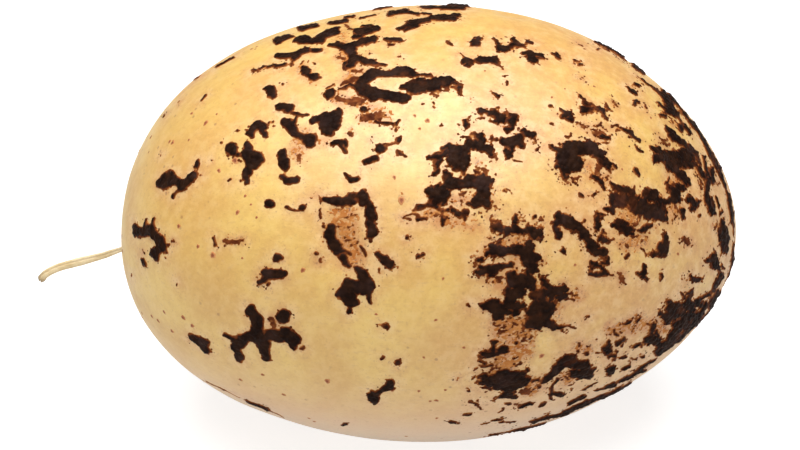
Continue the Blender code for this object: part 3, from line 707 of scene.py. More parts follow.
    (0.12, 17.8, -0.1, 18.4, -0.1), (0.2, 22.6, 0.4), (0.7, 22.8, -1.8, 23.5, -3),
    (0.85, 23.5, -3, 24.5, -4), (0.6, 24.6, -3.8, 25.7, -4.2), (0.35, 26.2, -4.9, 26.2, -5.5),
    (0.3, 25.3, -5.8, 26.3, -5.9), (0.45, 24, -5.9, 24.8, -6.3), (0.35, 25.2, -6.3, 25.6, -7),
    (0.25, 23.8, -6.7), (0.35, 23.7, -7.5, 25.9, -7.4), (0.1, 26, -7.4, 26.8, -7.4), (0.45, 19.5, -4.1),
    (0.2, 19.6, -3.6), (0.2, 28.1, -3.1), (0.15, 31.1, -3.7, 31.6, -4, 31.9, -4.7),
    (0.3, 28.9, -5.1, 29.3, -4.6), (0.4, 31.5, -6.2, 31.6, -7.2), (0.25, 30.5, -7.2, 31.3, -7.3),
    (0.35, 31.4, -7.8, 31.8, -8.2), (0.35, 34.2, -7.7), (0.15, 34, -8.3), (0.2, 34.3, -6.8),
    (0.15, 37.2, -8.1), (0.5, 38.6, -7.9, 39.1, -8.2), (0.2, 39, -8, 40.1, -7.8),
    (0.45, 34.7, -1.9, 34.6, -3.6), (0.7, 33.9, -3.7, 34.2, -4.2), (0.5, 34.3, -3.1, 34.4, -4.4),
    (0.4, 32.7, -4.7, 34, -4.6),
    # the rim at the rose end
    (0.25, 40.3, 9.8, 40.7, 7), (0.3, 40.9, 6.5, 40.5, 3.2), (0.3, 39.5, 8, 40.2, 6.8),
    (0.3, 41.3, 8, 41.6, 6), (0.6, 41, 3.5, 41.4, 1.7), (0.2, 42.2, 3.8, 42.6, 2.4), (0.35, 42.9, 1.5),
    (0.35, 43, 0.3, 43.2, -0.9), (0.65, 43, -0.9, 43.2, -2.2), (0.5, 43.2, -3, 43.4, -4.2),
    (0.2, 41.4, 10.2, 42.6, 8, 43.2, 5.8), (0.12, 43.4, 4.8, 44.1, 2.5, 44.3, 0), (0.5, 40.9, -5.4),
    (0.75, 41.7, -5, 41.9, -6), (0.35, 42.2, -6.7), (0.3, 43, -6.4), (0.45, 42.8, -7.5, 42, -8.8),
    (0.3, 41.8, -9.3, 41.5, -9.9), (0.3, 42.4, -10, 41.6, -11.2), (0.3, 38, -10.3, 38.6, -10.1),
    (0.25, 36.9, -10.2, 37.2, -10.9), (0.4, 38.5, -10.3, 38.2, -11), (0.3, 39.3, -11.1, 41, -10.4),
    (0.12, 38.6, 14.8, 40.4, 11.5, 42.1, 8.1, 43.3, 5.2), (0.12, 43.6, 4.4, 44.4, 1.6, 44.7, -1.6),
    (0.12, 44.7, -2.8, 44.5, -5.2, 43.9, -7.8, 42.8, -10.3),
    # the lower right
    (0.45, 35, -11.6, 36.5, -11.9), (0.85, 35.5, -12.7, 38, -12.2), (0.7, 34.8, -13.8, 36.5, -13.3),
    (0.5, 38, -11.5, 39.6, -11.7), (0.4, 38.5, -12.5), (0.3, 35, -14.4), (0.3, 34, -12.9, 33.9, -13.2),
    (0.45, 36, -14.9, 38.3, -14), (0.4, 37.5, -13.6, 39.5, -13.2), (0.5, 39.3, -13.9, 37.5, -15.4),
    (0.55, 37, -15, 35.5, -16.4), (0.45, 36.5, -16.4, 34.3, -17.7),
    (0.3, 38.9, -14.9, 36.4, -17, 33.6, -18.9), (0.3, 33.8, -17.6, 33.2, -18.8),
    (0.12, 41.3, -12.6, 39, -14.8), (0.3, 41.5, -11, 41.2, -12.3), (0.35, 40.6, -11.7, 39.8, -13),
    (0.4, 32.6, -15, 32.7, -15.8), (0.2, 32.1, -14.5), (0.8, 32.3, -17, 33.3, -17), (0.45, 33.5, -16),
    (0.3, 31.7, -17.3), (0.25, 30, -18.1, 30.8, -17.7), (0.2, 31.2, -18), (0.25, 27.4, -15.6, 27.5, -16.3),
    (0.15, 28.4, -15.9), (0.35, 27.6, -17.4, 28.6, -16.9), (0.2, 28.3, -17.9), (0.2, 24.6, -17.1),
    (0.4, 26.3, -17.6), (0.5, 25.5, -18.4, 26.2, -18.3), (0.35, 26, -18.9), (0.2, 24.6, -19),
    (0.25, 27.3, -18.8), (0.35, 26.6, -19.5, 27.3, -19.6), (0.3, 27, -20.2), (0.4, 26.3, -21.7, 27, -21.4),
    (0.25, 28.2, -19.9, 28.7, -19.6), (0.15, 29.5, -20, 30.1, -20), (0.15, 30.8, -19.6, 31.6, -19.3),
    (0.25, 28.5, -21.5, 29.2, -21.1), (0.25, 29, -14.5, 29.4, -14.3), (0.25, 30.4, -14.5, 30.8, -14),
    (0.2, 28.2, -14.6), (0.25, 23.2, -13.8), (0.3, 23, -19), (0.2, 23.8, -21.5, 24.4, -21.3),
    (0.12, 22.7, -24.2, 24.3, -23.3), (0.15, 24.5, -24.4, 26.5, -23.8), (0.35, 26.3, -23.8, 27.2, -23.4),
    (0.2, 27.8, -23, 29.2, -22.3), (0.15, 29.3, -22.2, 31.2, -21.2), (0.15, 31.2, -21.1, 33.2, -19.8),
    (0.12, 30, -22, 31.5, -21.5),
)
RUSTY_STROKES = (
    (0.35, -37.4, -2.6), (0.35, -29.8, -2.7, -27.2, -2.4), (0.2, -27.9, 9.1, -27.4, 9.1),
    (0.5, -23, -14, -22.5, -15), (0.25, -12, 29, -11, 28.2), (0.3, -11, 22.3, -9.8, 22.3),
    (0.25, -8.4, 22.5), (0.2, -11.3, 21.3, -10.3, 21.2), (0.55, -13.2, 18.3, -10, 17.7),
    (0.4, -12.6, 20.5, -11, 20.9), (0.4, -10.8, 18.5, -9.8, 18.1), (0.3, -13.4, 24.4, -12.4, 24.1),
    (0.5, -9.7, 15.4, -7, 15.8), (0.2, -8.3, 12.3), (0.5, -11.3, 13.2), (0.35, -19.1, 9.9, -19, 9.3),
    (0.25, -16, 4, -15.6, 3.4), (0.25, -16, 1.8, -15.8, 0.8), (0.25, -10.3, -3.8), (0.45, -15.9, -5.4),
    (0.25, -3.9, 0.9, -2.7, 0.3), (0.15, -12.5, 1.2, -10.5, 1.4), (0.15, -13, -0.4, -11, -0.2),
    (0.2, -12.5, -2.3, -11, -2), (0.15, -13.6, 2, -12.6, 2.1), (0.15, -11.3, -3.2, -10.4, -2.8),
    (0.35, 11.2, 16.3, 11.8, 16.1), (0.2, 13.2, 13.7), (0.3, 22.4, 14.4, 22.9, 14.1),
    (0.12, 22.8, 14.1, 25, 14.4), (0.4, 24.1, 13.5, 25.2, 13.3), (0.12, 25.6, 13.9),
    (0.2, 26.9, 17.9, 27.4, 17.4), (0.25, 19.2, 11.6), (0.12, 21.9, 26.4, 22.7, 26),
    (0.1, 21.9, 21.4, 22.7, 21), (0.1, 30.5, 21.5, 31.3, 21), (0.2, 36, 14.8),
    (0.3, 33.8, 12.5, 34.7, 12.3), (0.25, 34.3, 11.8, 35, 11.6), (0.2, 35.2, 7.6),
    (0.55, 24.8, 8.3, 24.8, 7.4), (0.2, 26.3, 7), (0.5, 21.3, 6.4, 21.9, 6.4), (0.3, 39.9, 6.3, 40, 5.3),
    (0.2, 35.5, 1.3, 36.2, 1), (0.2, 35.2, 2.1), (0.25, 36, 2.3, 36.7, 1.6), (0.2, 24, -1.3),
    (0.3, 30.3, 0.3), (0.35, 25.3, -5, 25.8, -5), (0.3, 29.1, -3.4), (0.3, 29.8, -2.1, 30.3, -2),
    (0.3, 31.4, -2.4), (0.45, 28.3, -7.2, 28.4, -8), (0.5, 37.5, -2.3, 38.1, -2.9),
    (0.15, 42.2, 0.3, 41.9, -0.8), (0.2, 41.7, 5.5, 42.4, 6), (0.25, 4.8, 3.4, 4.9, 2.8), (0.35, 8.5, 2.2),
    (0.2, 9.6, 5.1), (0.25, 9.8, 2.6, 10.2, 2.2), (0.15, 8.6, 0.9, 9.6, 1.1), (0.12, 0.4, 0.9, 1, 0.9),
    (0.12, -0.5, 1.3, 0.6, 1.2), (0.15, 1, 1.6, 1.3, 1), (0.2, 2.2, 8, 2.6, 7.6), (0.15, 3, 3.2, 4, 2.9),
    (0.12, 6.4, 4.1, 6.8, 3.4), (0.2, 8.6, -8.2, 9, -8.1), (0.35, 10, -8, 11.5, -7.9),
    (0.25, 10.2, -8.6, 10.9, -8.6), (0.15, 9, -2.2, 10, -2.3), (0.25, 8.3, -3.5), (0.3, 19.6, -8.7),
    (0.25, 20.5, -10.4, 22, -10.2), (0.2, 20.4, -11.2, 21.6, -11), (0.2, 16.9, -5.2, 16.8, -5.9),
    (0.12, 16.2, -7.6, 17.3, -7.6), (0.3, 9.5, -14.7, 10, -14.9), (0.25, 10.3, -15.8, 11, -16),
    (0.2, 11.3, -14.6), (0.2, 12.2, -14.6, 13, -15), (0.25, 14, -14.6, 14.2, -17),
    (0.15, 14.8, -16.5, 15.3, -16.3), (0.15, 11.8, -15.4, 12.3, -16.2), (0.15, 12.9, -15.8, 13.2, -16.6),
    (0.12, 10, -16.8, 10.4, -16.3), (0.2, 13.4, -20.6, 14, -20.5), (0.2, 9.3, -21.4, 10.2, -21),
    (0.2, 20, -22.5, 20.6, -22.7), (0.35, 33.2, -14.2), (0.15, 26.5, -15.3, 26.6, -16), (0.2, 26.5, -20.8),
    (0.12, 23.3, -18.2), (0.2, 30.7, -13.4), (0.2, 30, -15.5), (0.2, 12.6, -26.4, 13.3, -26.4),
    (0.35, 13.4, -24.9, 14.4, -24.6), (0.15, -41.9, -4.2), (0.12, -34.5, 21.1, -33.5, 21.5),
    (0.12, -38.5, 16), (0.12, -36.5, 17.8),
)
STAIN_STROKES = (
    (0.7, -28.2, 9), (1.4, -19.5, 10.5, -18, 13), (0.9, -16, 12, -15, 12), (2.6, -12.6, 1, -12.2, -1),
    (2.0, -11.8, -2.6, -11, -5), (0.9, -28.5, -2.5), (1.0, -22.6, -14.8), (1.6, 0.4, 1.2, 2.6, 0.8),
    (0.9, 7.4, 9.2, 7, 8.2), (1.1, 3.6, 3.4, 5.8, 3.6), (0.8, 9.6, 4.6, 9.8, 2.2), (1.2, 4, 0, 7, -0.6),
    (1.2, 11, -2.4, 14, -2.6), (1.1, 12.6, -5.6, 12.4, -7), (1.4, 9.8, -8.6, 11.4, -9.6),
    (3.0, 11.6, -15.6, 12.8, -15.8), (2.2, 11, -20.4, 14, -18), (1.4, 15.2, -8.6, 16.4, -9.2),
    (1.2, 21, -10.6, 22, -10.6), (1.0, 19.2, -12.2, 19, -13.4), (1.2, 23.4, 8.6, 23.6, 7.4),
    (0.9, 25.8, 7, 26.2, 6.2), (1.0, 35.8, 6.4, 35.7, 5.8), (1.1, 35.4, 2, 36.6, 2),
    (1.5, 28.6, 1.6, 29.8, 0.4), (1.6, 29, -3, 31, -2.6), (0.9, 21.6, 6.4), (0.9, 36, 14.6),
    (1.2, 20, -22.8, 20.6, -22.6), (1.4, 14.8, -24.2, 15.8, -23.4), (1.6, 27, -15.6, 30.6, -14.6),
    (1.4, 31.6, -14.6, 34, -15.2), (1.2, 22, -18, 23.4, -18.4), (1.0, 41.9, -0.4),
    (1.2, -8.8, 17.2, -7.4, 16.8), (0.9, -11.4, 13.6), (1.0, 9.4, -21.4), (0.7, -3.7, 3.9),
    (1.3, -13.8, 18.4, -10, 17.6), (1.3, -12.2, 20.8, -11, 22.4), (1.3, -9.6, 15.4, -6.4, 15.6),
    (1.2, -12.6, 27.4, -12.4, 24.6), (1.0, -17, 21, -18.6, 22.6),
)
# The sheet's grids, in millimetres. Beyond FAR outside a stroke, its depth isn't worked out.
SHEET_STEP = 0.1
SHEET_HALF = (48.0, 36.0)
FAR = 2.2
MERGE = 0.16
PLAIN_WIDTH = 0.3
# How noise moves the strokes along the skin: (wavelength, amount) in millimetres, the last along the sight.
WANDER = ((1.8, 0.30), (0.9, 0.21), (0.45, 0.10))
SLANT_WANDER = (2.2, 2.0)
COARSE_GRAIN = 0.85
FINE_GRAIN = 0.42
# The growth is calm at the heel end and wild from here on, over this many millimetres.
WILD_FROM = -28
WILD_OVER = 34
BARE_FOOT = 1.6 * MM
CRUMBS_REACH = 1.1
STAIN_REACH = 0.4
THINNEST = 0.035
SCURF_CELLS = 380
CRUST_ROOT = 0.45 * MM
SHARP_EDGE = math.radians(70)
PIECE_CELLS = 30000
CRUST_BLACK = linear(27, 13, 7)
CRUST_BROWN = linear(46, 26, 15)
# Purplish grey: partly the crust's own dusty colour, partly a painted sheen on its tops.
CRUST_PURPLE_AND_SHEEN = linear(62, 41, 35)
RUST_DARK = linear(78, 34, 14)
RUST_BRIGHT = linear(118, 60, 28)
FILM_OCHRE = linear(174, 104, 50)
FILM_PALE = linear(198, 134, 74)


def granules(points, spacing, seed):
    """Grains packed like gravel: each cell of a turned lattice holds one grain at a random place, and every
    point belongs to the nearest of the eight round it. Returns how far that grain's middle is, as a share of
    the spacing, and its random number."""
    place = points @ LATTICE_TURN / spacing
    corner = np.round(place).astype(np.int64)
    nearest = np.full(len(points), 9.0)
    own = np.zeros(len(points))
    for step in np.ndindex(2, 2, 2):
        cell = corner + step - 1
        squares = [(place[:, n] - cell[:, n] - 0.15 - 0.7 * chance(cell, seed + n)) ** 2 for n in range(3)]
        away = sum(squares)
        own = np.where(away < nearest, chance(cell, seed + 3), own)
        nearest = np.minimum(away, nearest)
    return np.sqrt(nearest), own


def line_of_sight():
    """The onlooker's eye, and the unit directions ahead, to the right and up as they look at the middle."""
    ahead = np.array((0.0, math.cos(SIGHT_ELEVATION), -math.sin(SIGHT_ELEVATION)))
    above = np.array((0.0, math.sin(SIGHT_ELEVATION), math.cos(SIGHT_ELEVATION)))
    return SHEET_CENTRE - ahead * SIGHT_DISTANCE, ahead, np.array((1.0, 0.0, 0.0)), above


def on_sheet(points):
    """Where the line from the onlooker's eye to each point meets the sheet, across and up in millimetres: the
    distances to the right and up, divided by the distance ahead, times the sheet's own distance."""
    eye, ahead, right, above = line_of_sight()
    away = points - eye
    depth = away @ ahead / SIGHT_DISTANCE
    seen = np.stack((away @ right / depth, away @ above / depth), axis=1)
    return (seen - SHEET_SHIFT) / SHEET_SCALE / MM


def stroke_depth(strokes):
    """Grids over the sheet: how deep each place lies inside the strokes, in millimetres, which is
    m log(sum of exp(d / m)) over the strokes' own depths d = radius - distance to the stroke's line, so that
    close strokes merge; the radius of the stroke that goes deepest; and the depth's slopes across and up."""
    across = np.arange(-SHEET_HALF[0], SHEET_HALF[0], SHEET_STEP)
    up = np.arange(-SHEET_HALF[1], SHEET_HALF[1], SHEET_STEP)
    depth = np.full((len(across), len(up)), -FAR)
    total = np.full(depth.shape, math.exp(-FAR / MERGE))
    width = np.full(depth.shape, PLAIN_WIDTH)
    for radius, *route in strokes:
        stops = np.array(route).reshape(-1, 2)
        stops = np.concatenate((stops, stops)) if len(stops) == 1 else stops
        for start, end in zip(stops[:-1], stops[1:]):
            low = np.minimum(start, end) - radius - FAR
            high = np.maximum(start, end) + radius + FAR
            here = slice(*np.searchsorted(across, (low[0], high[0])))
            there = slice(*np.searchsorted(up, (low[1], high[1])))
            x = across[here, None] - start[0]
            y = up[None, there] - start[1]
            run = end - start
            share = np.clip((x * run[0] + y * run[1]) / max(run @ run, 1e-9), 0, 1)
            inside = radius - np.hypot(x - share * run[0], y - share * run[1])
            wins = inside > depth[here, there]
            depth[here, there] = np.where(wins, inside, depth[here, there])
            width[here, there] = np.where(wins, radius, width[here, there])
            total[here, there] += np.exp(inside / MERGE)
    depth = MERGE * np.log(total)
    return depth, width, *np.gradient(depth, SHEET_STEP)


def sampled(grid, places):
    """The grid's value at each place on the sheet, blended between its four neighbours."""
    steps = (places + np.array(SHEET_HALF)) / SHEET_STEP
    steps = np.clip(steps, 0, np.array(grid.shape) - 1.001)
    corner = steps.astype(int)
    share = steps - corner
    i, j = corner[:, 0], corner[:, 1]
    left = grid[i, j] * (1 - share[:, 1]) + grid[i, j + 1] * share[:, 1]
    right = grid[i + 1, j] * (1 - share[:, 1]) + grid[i + 1, j + 1] * share[:, 1]
    return left * (1 - share[:, 0]) + right * share[:, 0]


def half_turned(vectors, about=0.0):
    """The vectors turned by 180 degrees about the long axis at this height."""
    return np.stack((vectors[:, 0], -vectors[:, 1], 2 * about - vectors[:, 2]), axis=1)


def on_both_sides(grids, points, normals, shift=0.0):
    """The strokes' depth and width at points all round: the front wears them as seen by the onlooker, the
    hidden side wears the same ones half a turn on about the long axis. The depth on the sheet is divided by
    how far one millimetre along the skin moves on the sheet, in the direction in which the depth changes, and
    fades just past the rim. The shift moves the points before they are looked up."""
    depth, width, slope_across, slope_up = grids
    best = np.full(len(points), -FAR)
    wide = np.full(len(points), PLAIN_WIDTH)
    eye, _, right, above = line_of_sight()
    moved = points + shift
    turned = half_turned(moved, SHEET_CENTRE[2])
    for seen, out in ((moved, normals), (turned, half_turned(normals))):
        facing = (out * unit(eye - seen)).sum(axis=1)
        places = on_sheet(seen)
        slope = np.stack((sampled(slope_across, places), sampled(slope_up, places)), axis=1)
        lean = np.stack((out @ right, out @ above), axis=1)
        size = np.linalg.norm(slope, axis=1) * np.linalg.norm(lean, axis=1)
        aslant = ((slope * lean).sum(axis=1) / np.maximum(size, 1e-6)) ** 2
        travel = np.sqrt(aslant * facing**2 + 1 - aslant)
        inside = sampled(depth, places) / np.clip(travel, 0.3, 1) + 16 * np.minimum(facing, 0)
        wins = inside > best
        best = np.where(wins, inside, best)
        wide = np.where(wins, sampled(width, places), wide)
    return best, wide


def lone_edges(faces):
    """The edges, as pairs of points in their face's order, that no second face shares."""
    edges = np.stack((faces, np.roll(faces, -1, axis=1)), axis=-1).reshape(-1, 2)
    count = faces.max() + 1
    return edges[~np.isin(edges[:, 0] * count + edges[:, 1], edges[:, 1] * count + edges[:, 0])]


def without_pinches(cells, kept):
    """Which cells to keep so that no two kept ones meet only at a corner: wherever more than two lone edges
    end, the cells round that point are kept as well, until there is no such point."""
    while True:
        ends = np.bincount(lone_edges(cells[kept]).reshape(-1), minlength=cells.max() + 1)
        grown = kept | (ends > 2)[cells].any(axis=1)
        if (grown == kept).all():
            return kept
        kept = grown


def crust_body(faces, top, bottom):
    """A closed body: the top's faces, the same faces upside down on the bottom's points, and walls between
    the two along every lone edge. Returns the top's points used, the body's points and its faces."""
    used, local = np.unique(faces, return_inverse=True)
    faces = local.reshape(faces.shape)
    rim = lone_edges(faces)
    count = len(used)
    walls = np.stack((rim[:, 0], rim[:, 0] + count, rim[:, 1] + count, rim[:, 1]), axis=1)
    faces = np.concatenate((faces, faces[:, ::-1] + count, walls))
    return used, np.concatenate((top[used], bottom[used])), faces


def scurf_material():
    """Crumbly fungal crust: near-black with brown tops where it is thick, and purplish-grey patches on them
    that are partly the crust's own dusty colour and partly a painted sheen; rusty brown where it is thin, and
    ochre-brown where it is only a film."""
    made, tree, shader = new_material("scurf crust")
    mottle, pits = grain(tree, 700.0, 3200.0)
    place = add_node(tree, "ShaderNodeTexCoord").outputs["Object"]
    thick = attribute(tree, "thick")
    top = blend(tree, reach(tree, mottle, 0.38, 0.66), CRUST_BLACK, CRUST_BROWN)
    # Purplish-grey patches on the thick tops: partly the crust's own dusty colour, partly a painted sheen.
    purple_and_sheen = noise(tree, place, 260.0, 2.0)
    top = blend(tree, reach(tree, purple_and_sheen, 0.52, 0.70, 0.0, 0.5), top, CRUST_PURPLE_AND_SHEEN)
    rust = blend(tree, reach(tree, mottle, 0.35, 0.65), RUST_DARK, RUST_BRIGHT)
    film = blend(tree, reach(tree, mottle, 0.35, 0.65), FILM_OCHRE, FILM_PALE)
    base = blend(tree, reach(tree, thick, 0.02, 0.30), film, rust)
    base = blend(tree, reach(tree, thick, 0.34, 0.90), base, top)
    tree.links.new(base, shader.inputs["Base Color"])
    shader.inputs["Specular IOR Level"].default_value = 0.05
    tree.links.new(reach(tree, pits, 0.40, 0.62, 0.80, 0.45), shader.inputs["Roughness"])
    add_bump(tree, shader, mottle, 0.6, pits, 0.4, 0.7, 0.00014)
    return made


def wander(place, out):
    """How far the strokes are moved along the skin at each point: three sizes of noise every way, and one
    along the line of sight that grows as (1 - the cosine of the angle of view)². What points out of the skin
    is taken away."""
    shift = np.zeros((len(place), 3))
    for number, (wavelength, amount) in enumerate(WANDER):
        for axis in range(3):
            shift[:, axis] += amount * MM * lattice_noise(place, wavelength * MM, 61 + 3 * number + axis)
    ahead = line_of_sight()[1]
    aslant = (1 - np.abs(out @ ahead)) ** 2
    slant = SLANT_WANDER[1] * MM * aslant * lattice_noise(place, SLANT_WANDER[0] * MM, 91)
    shift += ahead * slant[:, None]
    return shift - out * (shift * out).sum(axis=1)[:, None]


def scurf_relief(points, normals):
    """How far the crust's top stands off the skin at each point in millimetres, below zero where there is
    none; how deep each point lies inside the crust; and how thick-grown it looks from 0 to 1. The strokes are
    moved about by noise and grown grain by grain, so their edges are lobed. Inside, the crust rises as
    1 - exp(-depth / 0.25) and carries a dome on each grain. Crumbs lie round it, and stains are a speckled
    film. Nothing grows near the table."""
    strokes = [stroke_depth(group) for group in (DARK_STROKES, RUSTY_STROKES, STAIN_STROKES)]
    deepest = np.max([grids[0] for grids in strokes], axis=0)
    hidden = half_turned(points, SHEET_CENTRE[2])
    seen = np.maximum(sampled(deepest, on_sheet(points)), sampled(deepest, on_sheet(hidden)))
    near = np.flatnonzero(seen > -1.6)
    place = points[near]
    out = normals[near]
    shift = wander(place, out)
    dark, wide = on_both_sides(strokes[0], place, out, shift)
    rust, thin_wide = on_both_sides(strokes[1], place, out, shift)
    stain = on_both_sides(strokes[2], place, out, shift)[0]

    swell = lattice_noise(place, 2.6 * MM, 31)
    patch = lattice_noise(place, 1.2 * MM, 32)
    coarse, coarse_own = granules(place, COARSE_GRAIN * MM, 201)
    small, small_own = granules(place, FINE_GRAIN * MM, 211)
    wild = np.clip((place[:, 0] / MM - WILD_FROM) / WILD_OVER, 0.4, 1)
    lobes = wild * (0.40 * (0.50 - coarse) + 0.30 * (coarse_own - 0.5))
    crumbly = wild * (0.30 * (0.50 - small) + 0.22 * (small_own - 0.5))
    bare = -60 * np.maximum(BARE_FOOT - place[:, 2], 0) / MM

    ragged = lobes * np.clip(wide / 0.85, 0.25, 1) + crumbly * np.clip(wide / 0.5, 0.4, 1)
    dark_in = dark + 0.06 + ragged + bare
    rust_in = rust - 0.02 + lobes * np.clip(thin_wide / 0.5, 0.4, 1) + 1.5 * crumbly + bare
    away = np.clip(-np.maximum(dark, rust + 0.2), 0.0, 3.0)
    rare = small_own - 0.95 + 0.20 * wild - 0.40 * away + 0.25 * swell
    crumb_in = 0.5 * rare + 0.35 * (0.42 - small) + bare
    crumb_in = np.where(away < CRUMBS_REACH, crumb_in, -1.0)
    soaked = np.clip((stain + STAIN_REACH) / 2.4, 0, 0.8)
    film_in = 0.30 * (soaked - 0.24 - small_own) + 0.25 * (0.42 - small) + bare
    film_in = np.where(stain > -STAIN_REACH, film_in, -1.0)
    inside = np.max((dark_in, rust_in, crumb_in, film_in), axis=0)

    dome = np.clip(1 - (coarse / 0.7) ** 2, 0, 1)
    small_dome = np.clip(1 - (small / 0.7) ** 2, 0, 1)
    body = 1 - np.exp(-np.maximum(dark_in, 0) / 0.25)
    dark_top = body * (0.15 + 0.12 * swell + 0.05 * patch + 0.16 * dome + 0.07 * small_dome)
    rust_top = (0.05 + 0.05 * small_dome) * (1 - np.exp(-np.maximum(rust_in, 0) / 0.12))
    crumb_top = 0.7 * np.maximum(crumb_in, 0)
    film_top = np.where(film_in > 0, THINNEST + 0.10 * np.maximum(film_in, 0), 0.0)
    top = np.max((dark_top, rust_top, crumb_top, film_top), axis=0)

    shade = np.clip(dark_in / 0.32, 0, 1) * np.clip(1.0 + wild * (0.40 * patch + 0.25 * swell), 0.72, 1)
    rust_shade = 0.20 + 0.35 * small_own * np.clip(rust_in / 0.3, 0, 1)
    shade = np.maximum(shade, np.where(rust_in > 0, rust_shade, 0))
    shade = np.maximum(shade, np.where(crumb_in > 0, 0.12 + 0.4 * coarse_own, 0))

    height = np.full(len(points), -1.0)
    height[near] = np.where(inside > 0, np.maximum(top, THINNEST), np.maximum(0.8 * inside, -0.3))
    depth = np.full(len(points), -FAR)
    depth[near] = inside
    thick = np.zeros(len(points))
    thick[near] = shade
    return height, depth, thick


fine, fine_cells = cube_sphere(SCURF_CELLS)
fine_normals = egg_normals(fine)
fine_points = bumpy_skin(fine)
height, depth, thick = scurf_relief(fine_points, fine_normals)
kept = without_pinches(fine_cells, (depth[fine_cells] > 0).any(axis=1))
crust_top = fine_points + fine_normals * (height * MM)[:, None]
crust_bottom = fine_points - fine_normals * CRUST_ROOT
crust = scurf_material()
row_ends = np.cumsum(kept.reshape(-1, SCURF_CELLS).sum(axis=1))
row_piece = np.maximum(row_ends - 1, 0) // PIECE_CELLS
piece_of = np.repeat(row_piece, SCURF_CELLS)
for number in range(row_piece.max() + 1):
    used, body, body_faces = crust_body(fine_cells[kept & (piece_of == number)], crust_top, crust_bottom)
    shown = np.concatenate((thick[used], thick[used]))
    piece = add_piece("scurf_%d" % (number + 1), body, body_faces, crust, (("thick", shown),))
    piece.data.set_sharp_from_angle(angle=SHARP_EDGE)

# What the skin's own colour needs to know: how soaked it is, and how near the scurf.
grown = (DARK_STROKES, RUSTY_STROKES, STAIN_STROKES)
skin_normals = egg_normals(directions)
crusted, rusted, soaked = (on_both_sides(stroke_depth(group), points, skin_normals)[0] for group in grown)
soak = np.clip((soaked + 0.6) / 1.6, 0, 1) ** 1.3
soak = np.maximum(soak, 0.7 * np.exp(-np.clip(-rusted, 0, 9) / 0.4))
halo = np.exp(-np.clip(-np.maximum(crusted, rusted), 0, 9) / 1.6)
for label, values in (("stain", soak), ("near", halo)):
    skin.data.attributes.new(label, "FLOAT", "POINT").data.foreach_set("value", values.astype(np.float32))


# ---- lenticels ---------------------------------------------------------------------------------
# The lenticels: the corky breathing pores of the skin, low brown warts with a dimple in the middle. Those in
# front are placed one by one, and more are sown at random all round. They grew out of the skin.
# Each is (radius, across, up) in millimetres on the same sheet.
LENTICELS_SEEN = (
    (0.5, -3.9, 3.5), (0.5, -31.6, -4.7), (0.5, -28.2, 9), (0.4, 37.8, -2.6), (0.35, -39.6, -14.3),
    (0.4, -36, -13.8), (0.35, -34.6, -15.1), (0.35, -27.6, -22.9), (0.3, -24.3, -22), (0.35, -21.2, -25.1),
    (0.45, -14.9, -23), (0.3, -17.6, -28.4), (0.3, -16.7, -29), (0.25, -1.4, -24.5), (0.25, 0.2, -26),
    (0.3, -3.3, -31.1), (0.2, -0.7, -19.5), (0.25, 5.2, -18), (0.25, 2.5, -24.4), (0.25, 21.5, -6.1),
    (0.45, 16.5, -19.3), (0.25, 36.5, -4.5), (0.2, 28.3, 8), (0.25, 32.6, 15.5), (0.2, 18.1, 18.5),
    (0.2, -7.7, -13.2), (0.25, -5.4, -24.5), (0.2, 12.3, 27.5), (0.25, -5, 6.8), (0.2, -31, 16),
    (0.22, 24.3, 20), (0.2, 8.2, 22.4), (0.22, -27, 4), (0.2, 2, -8), (0.22, 1, -14),
)
LENTICELS_SOWN = 70
WART_RINGS = 7
WART_SIDES = 18
# A wart's heights and widths, as shares of its radius.
WART_HEIGHT = 0.20
DIMPLE_DEPTH = 0.14
DIMPLE_RADIUS = 0.35
RIM_SINK = 0.03
ROOT_DEPTH = 0.4
RIM_TAN = linear(214, 150, 92)
RIM_BROWN = linear(196, 126, 70)
DIMPLE_BROWN = linear(138, 72, 36)


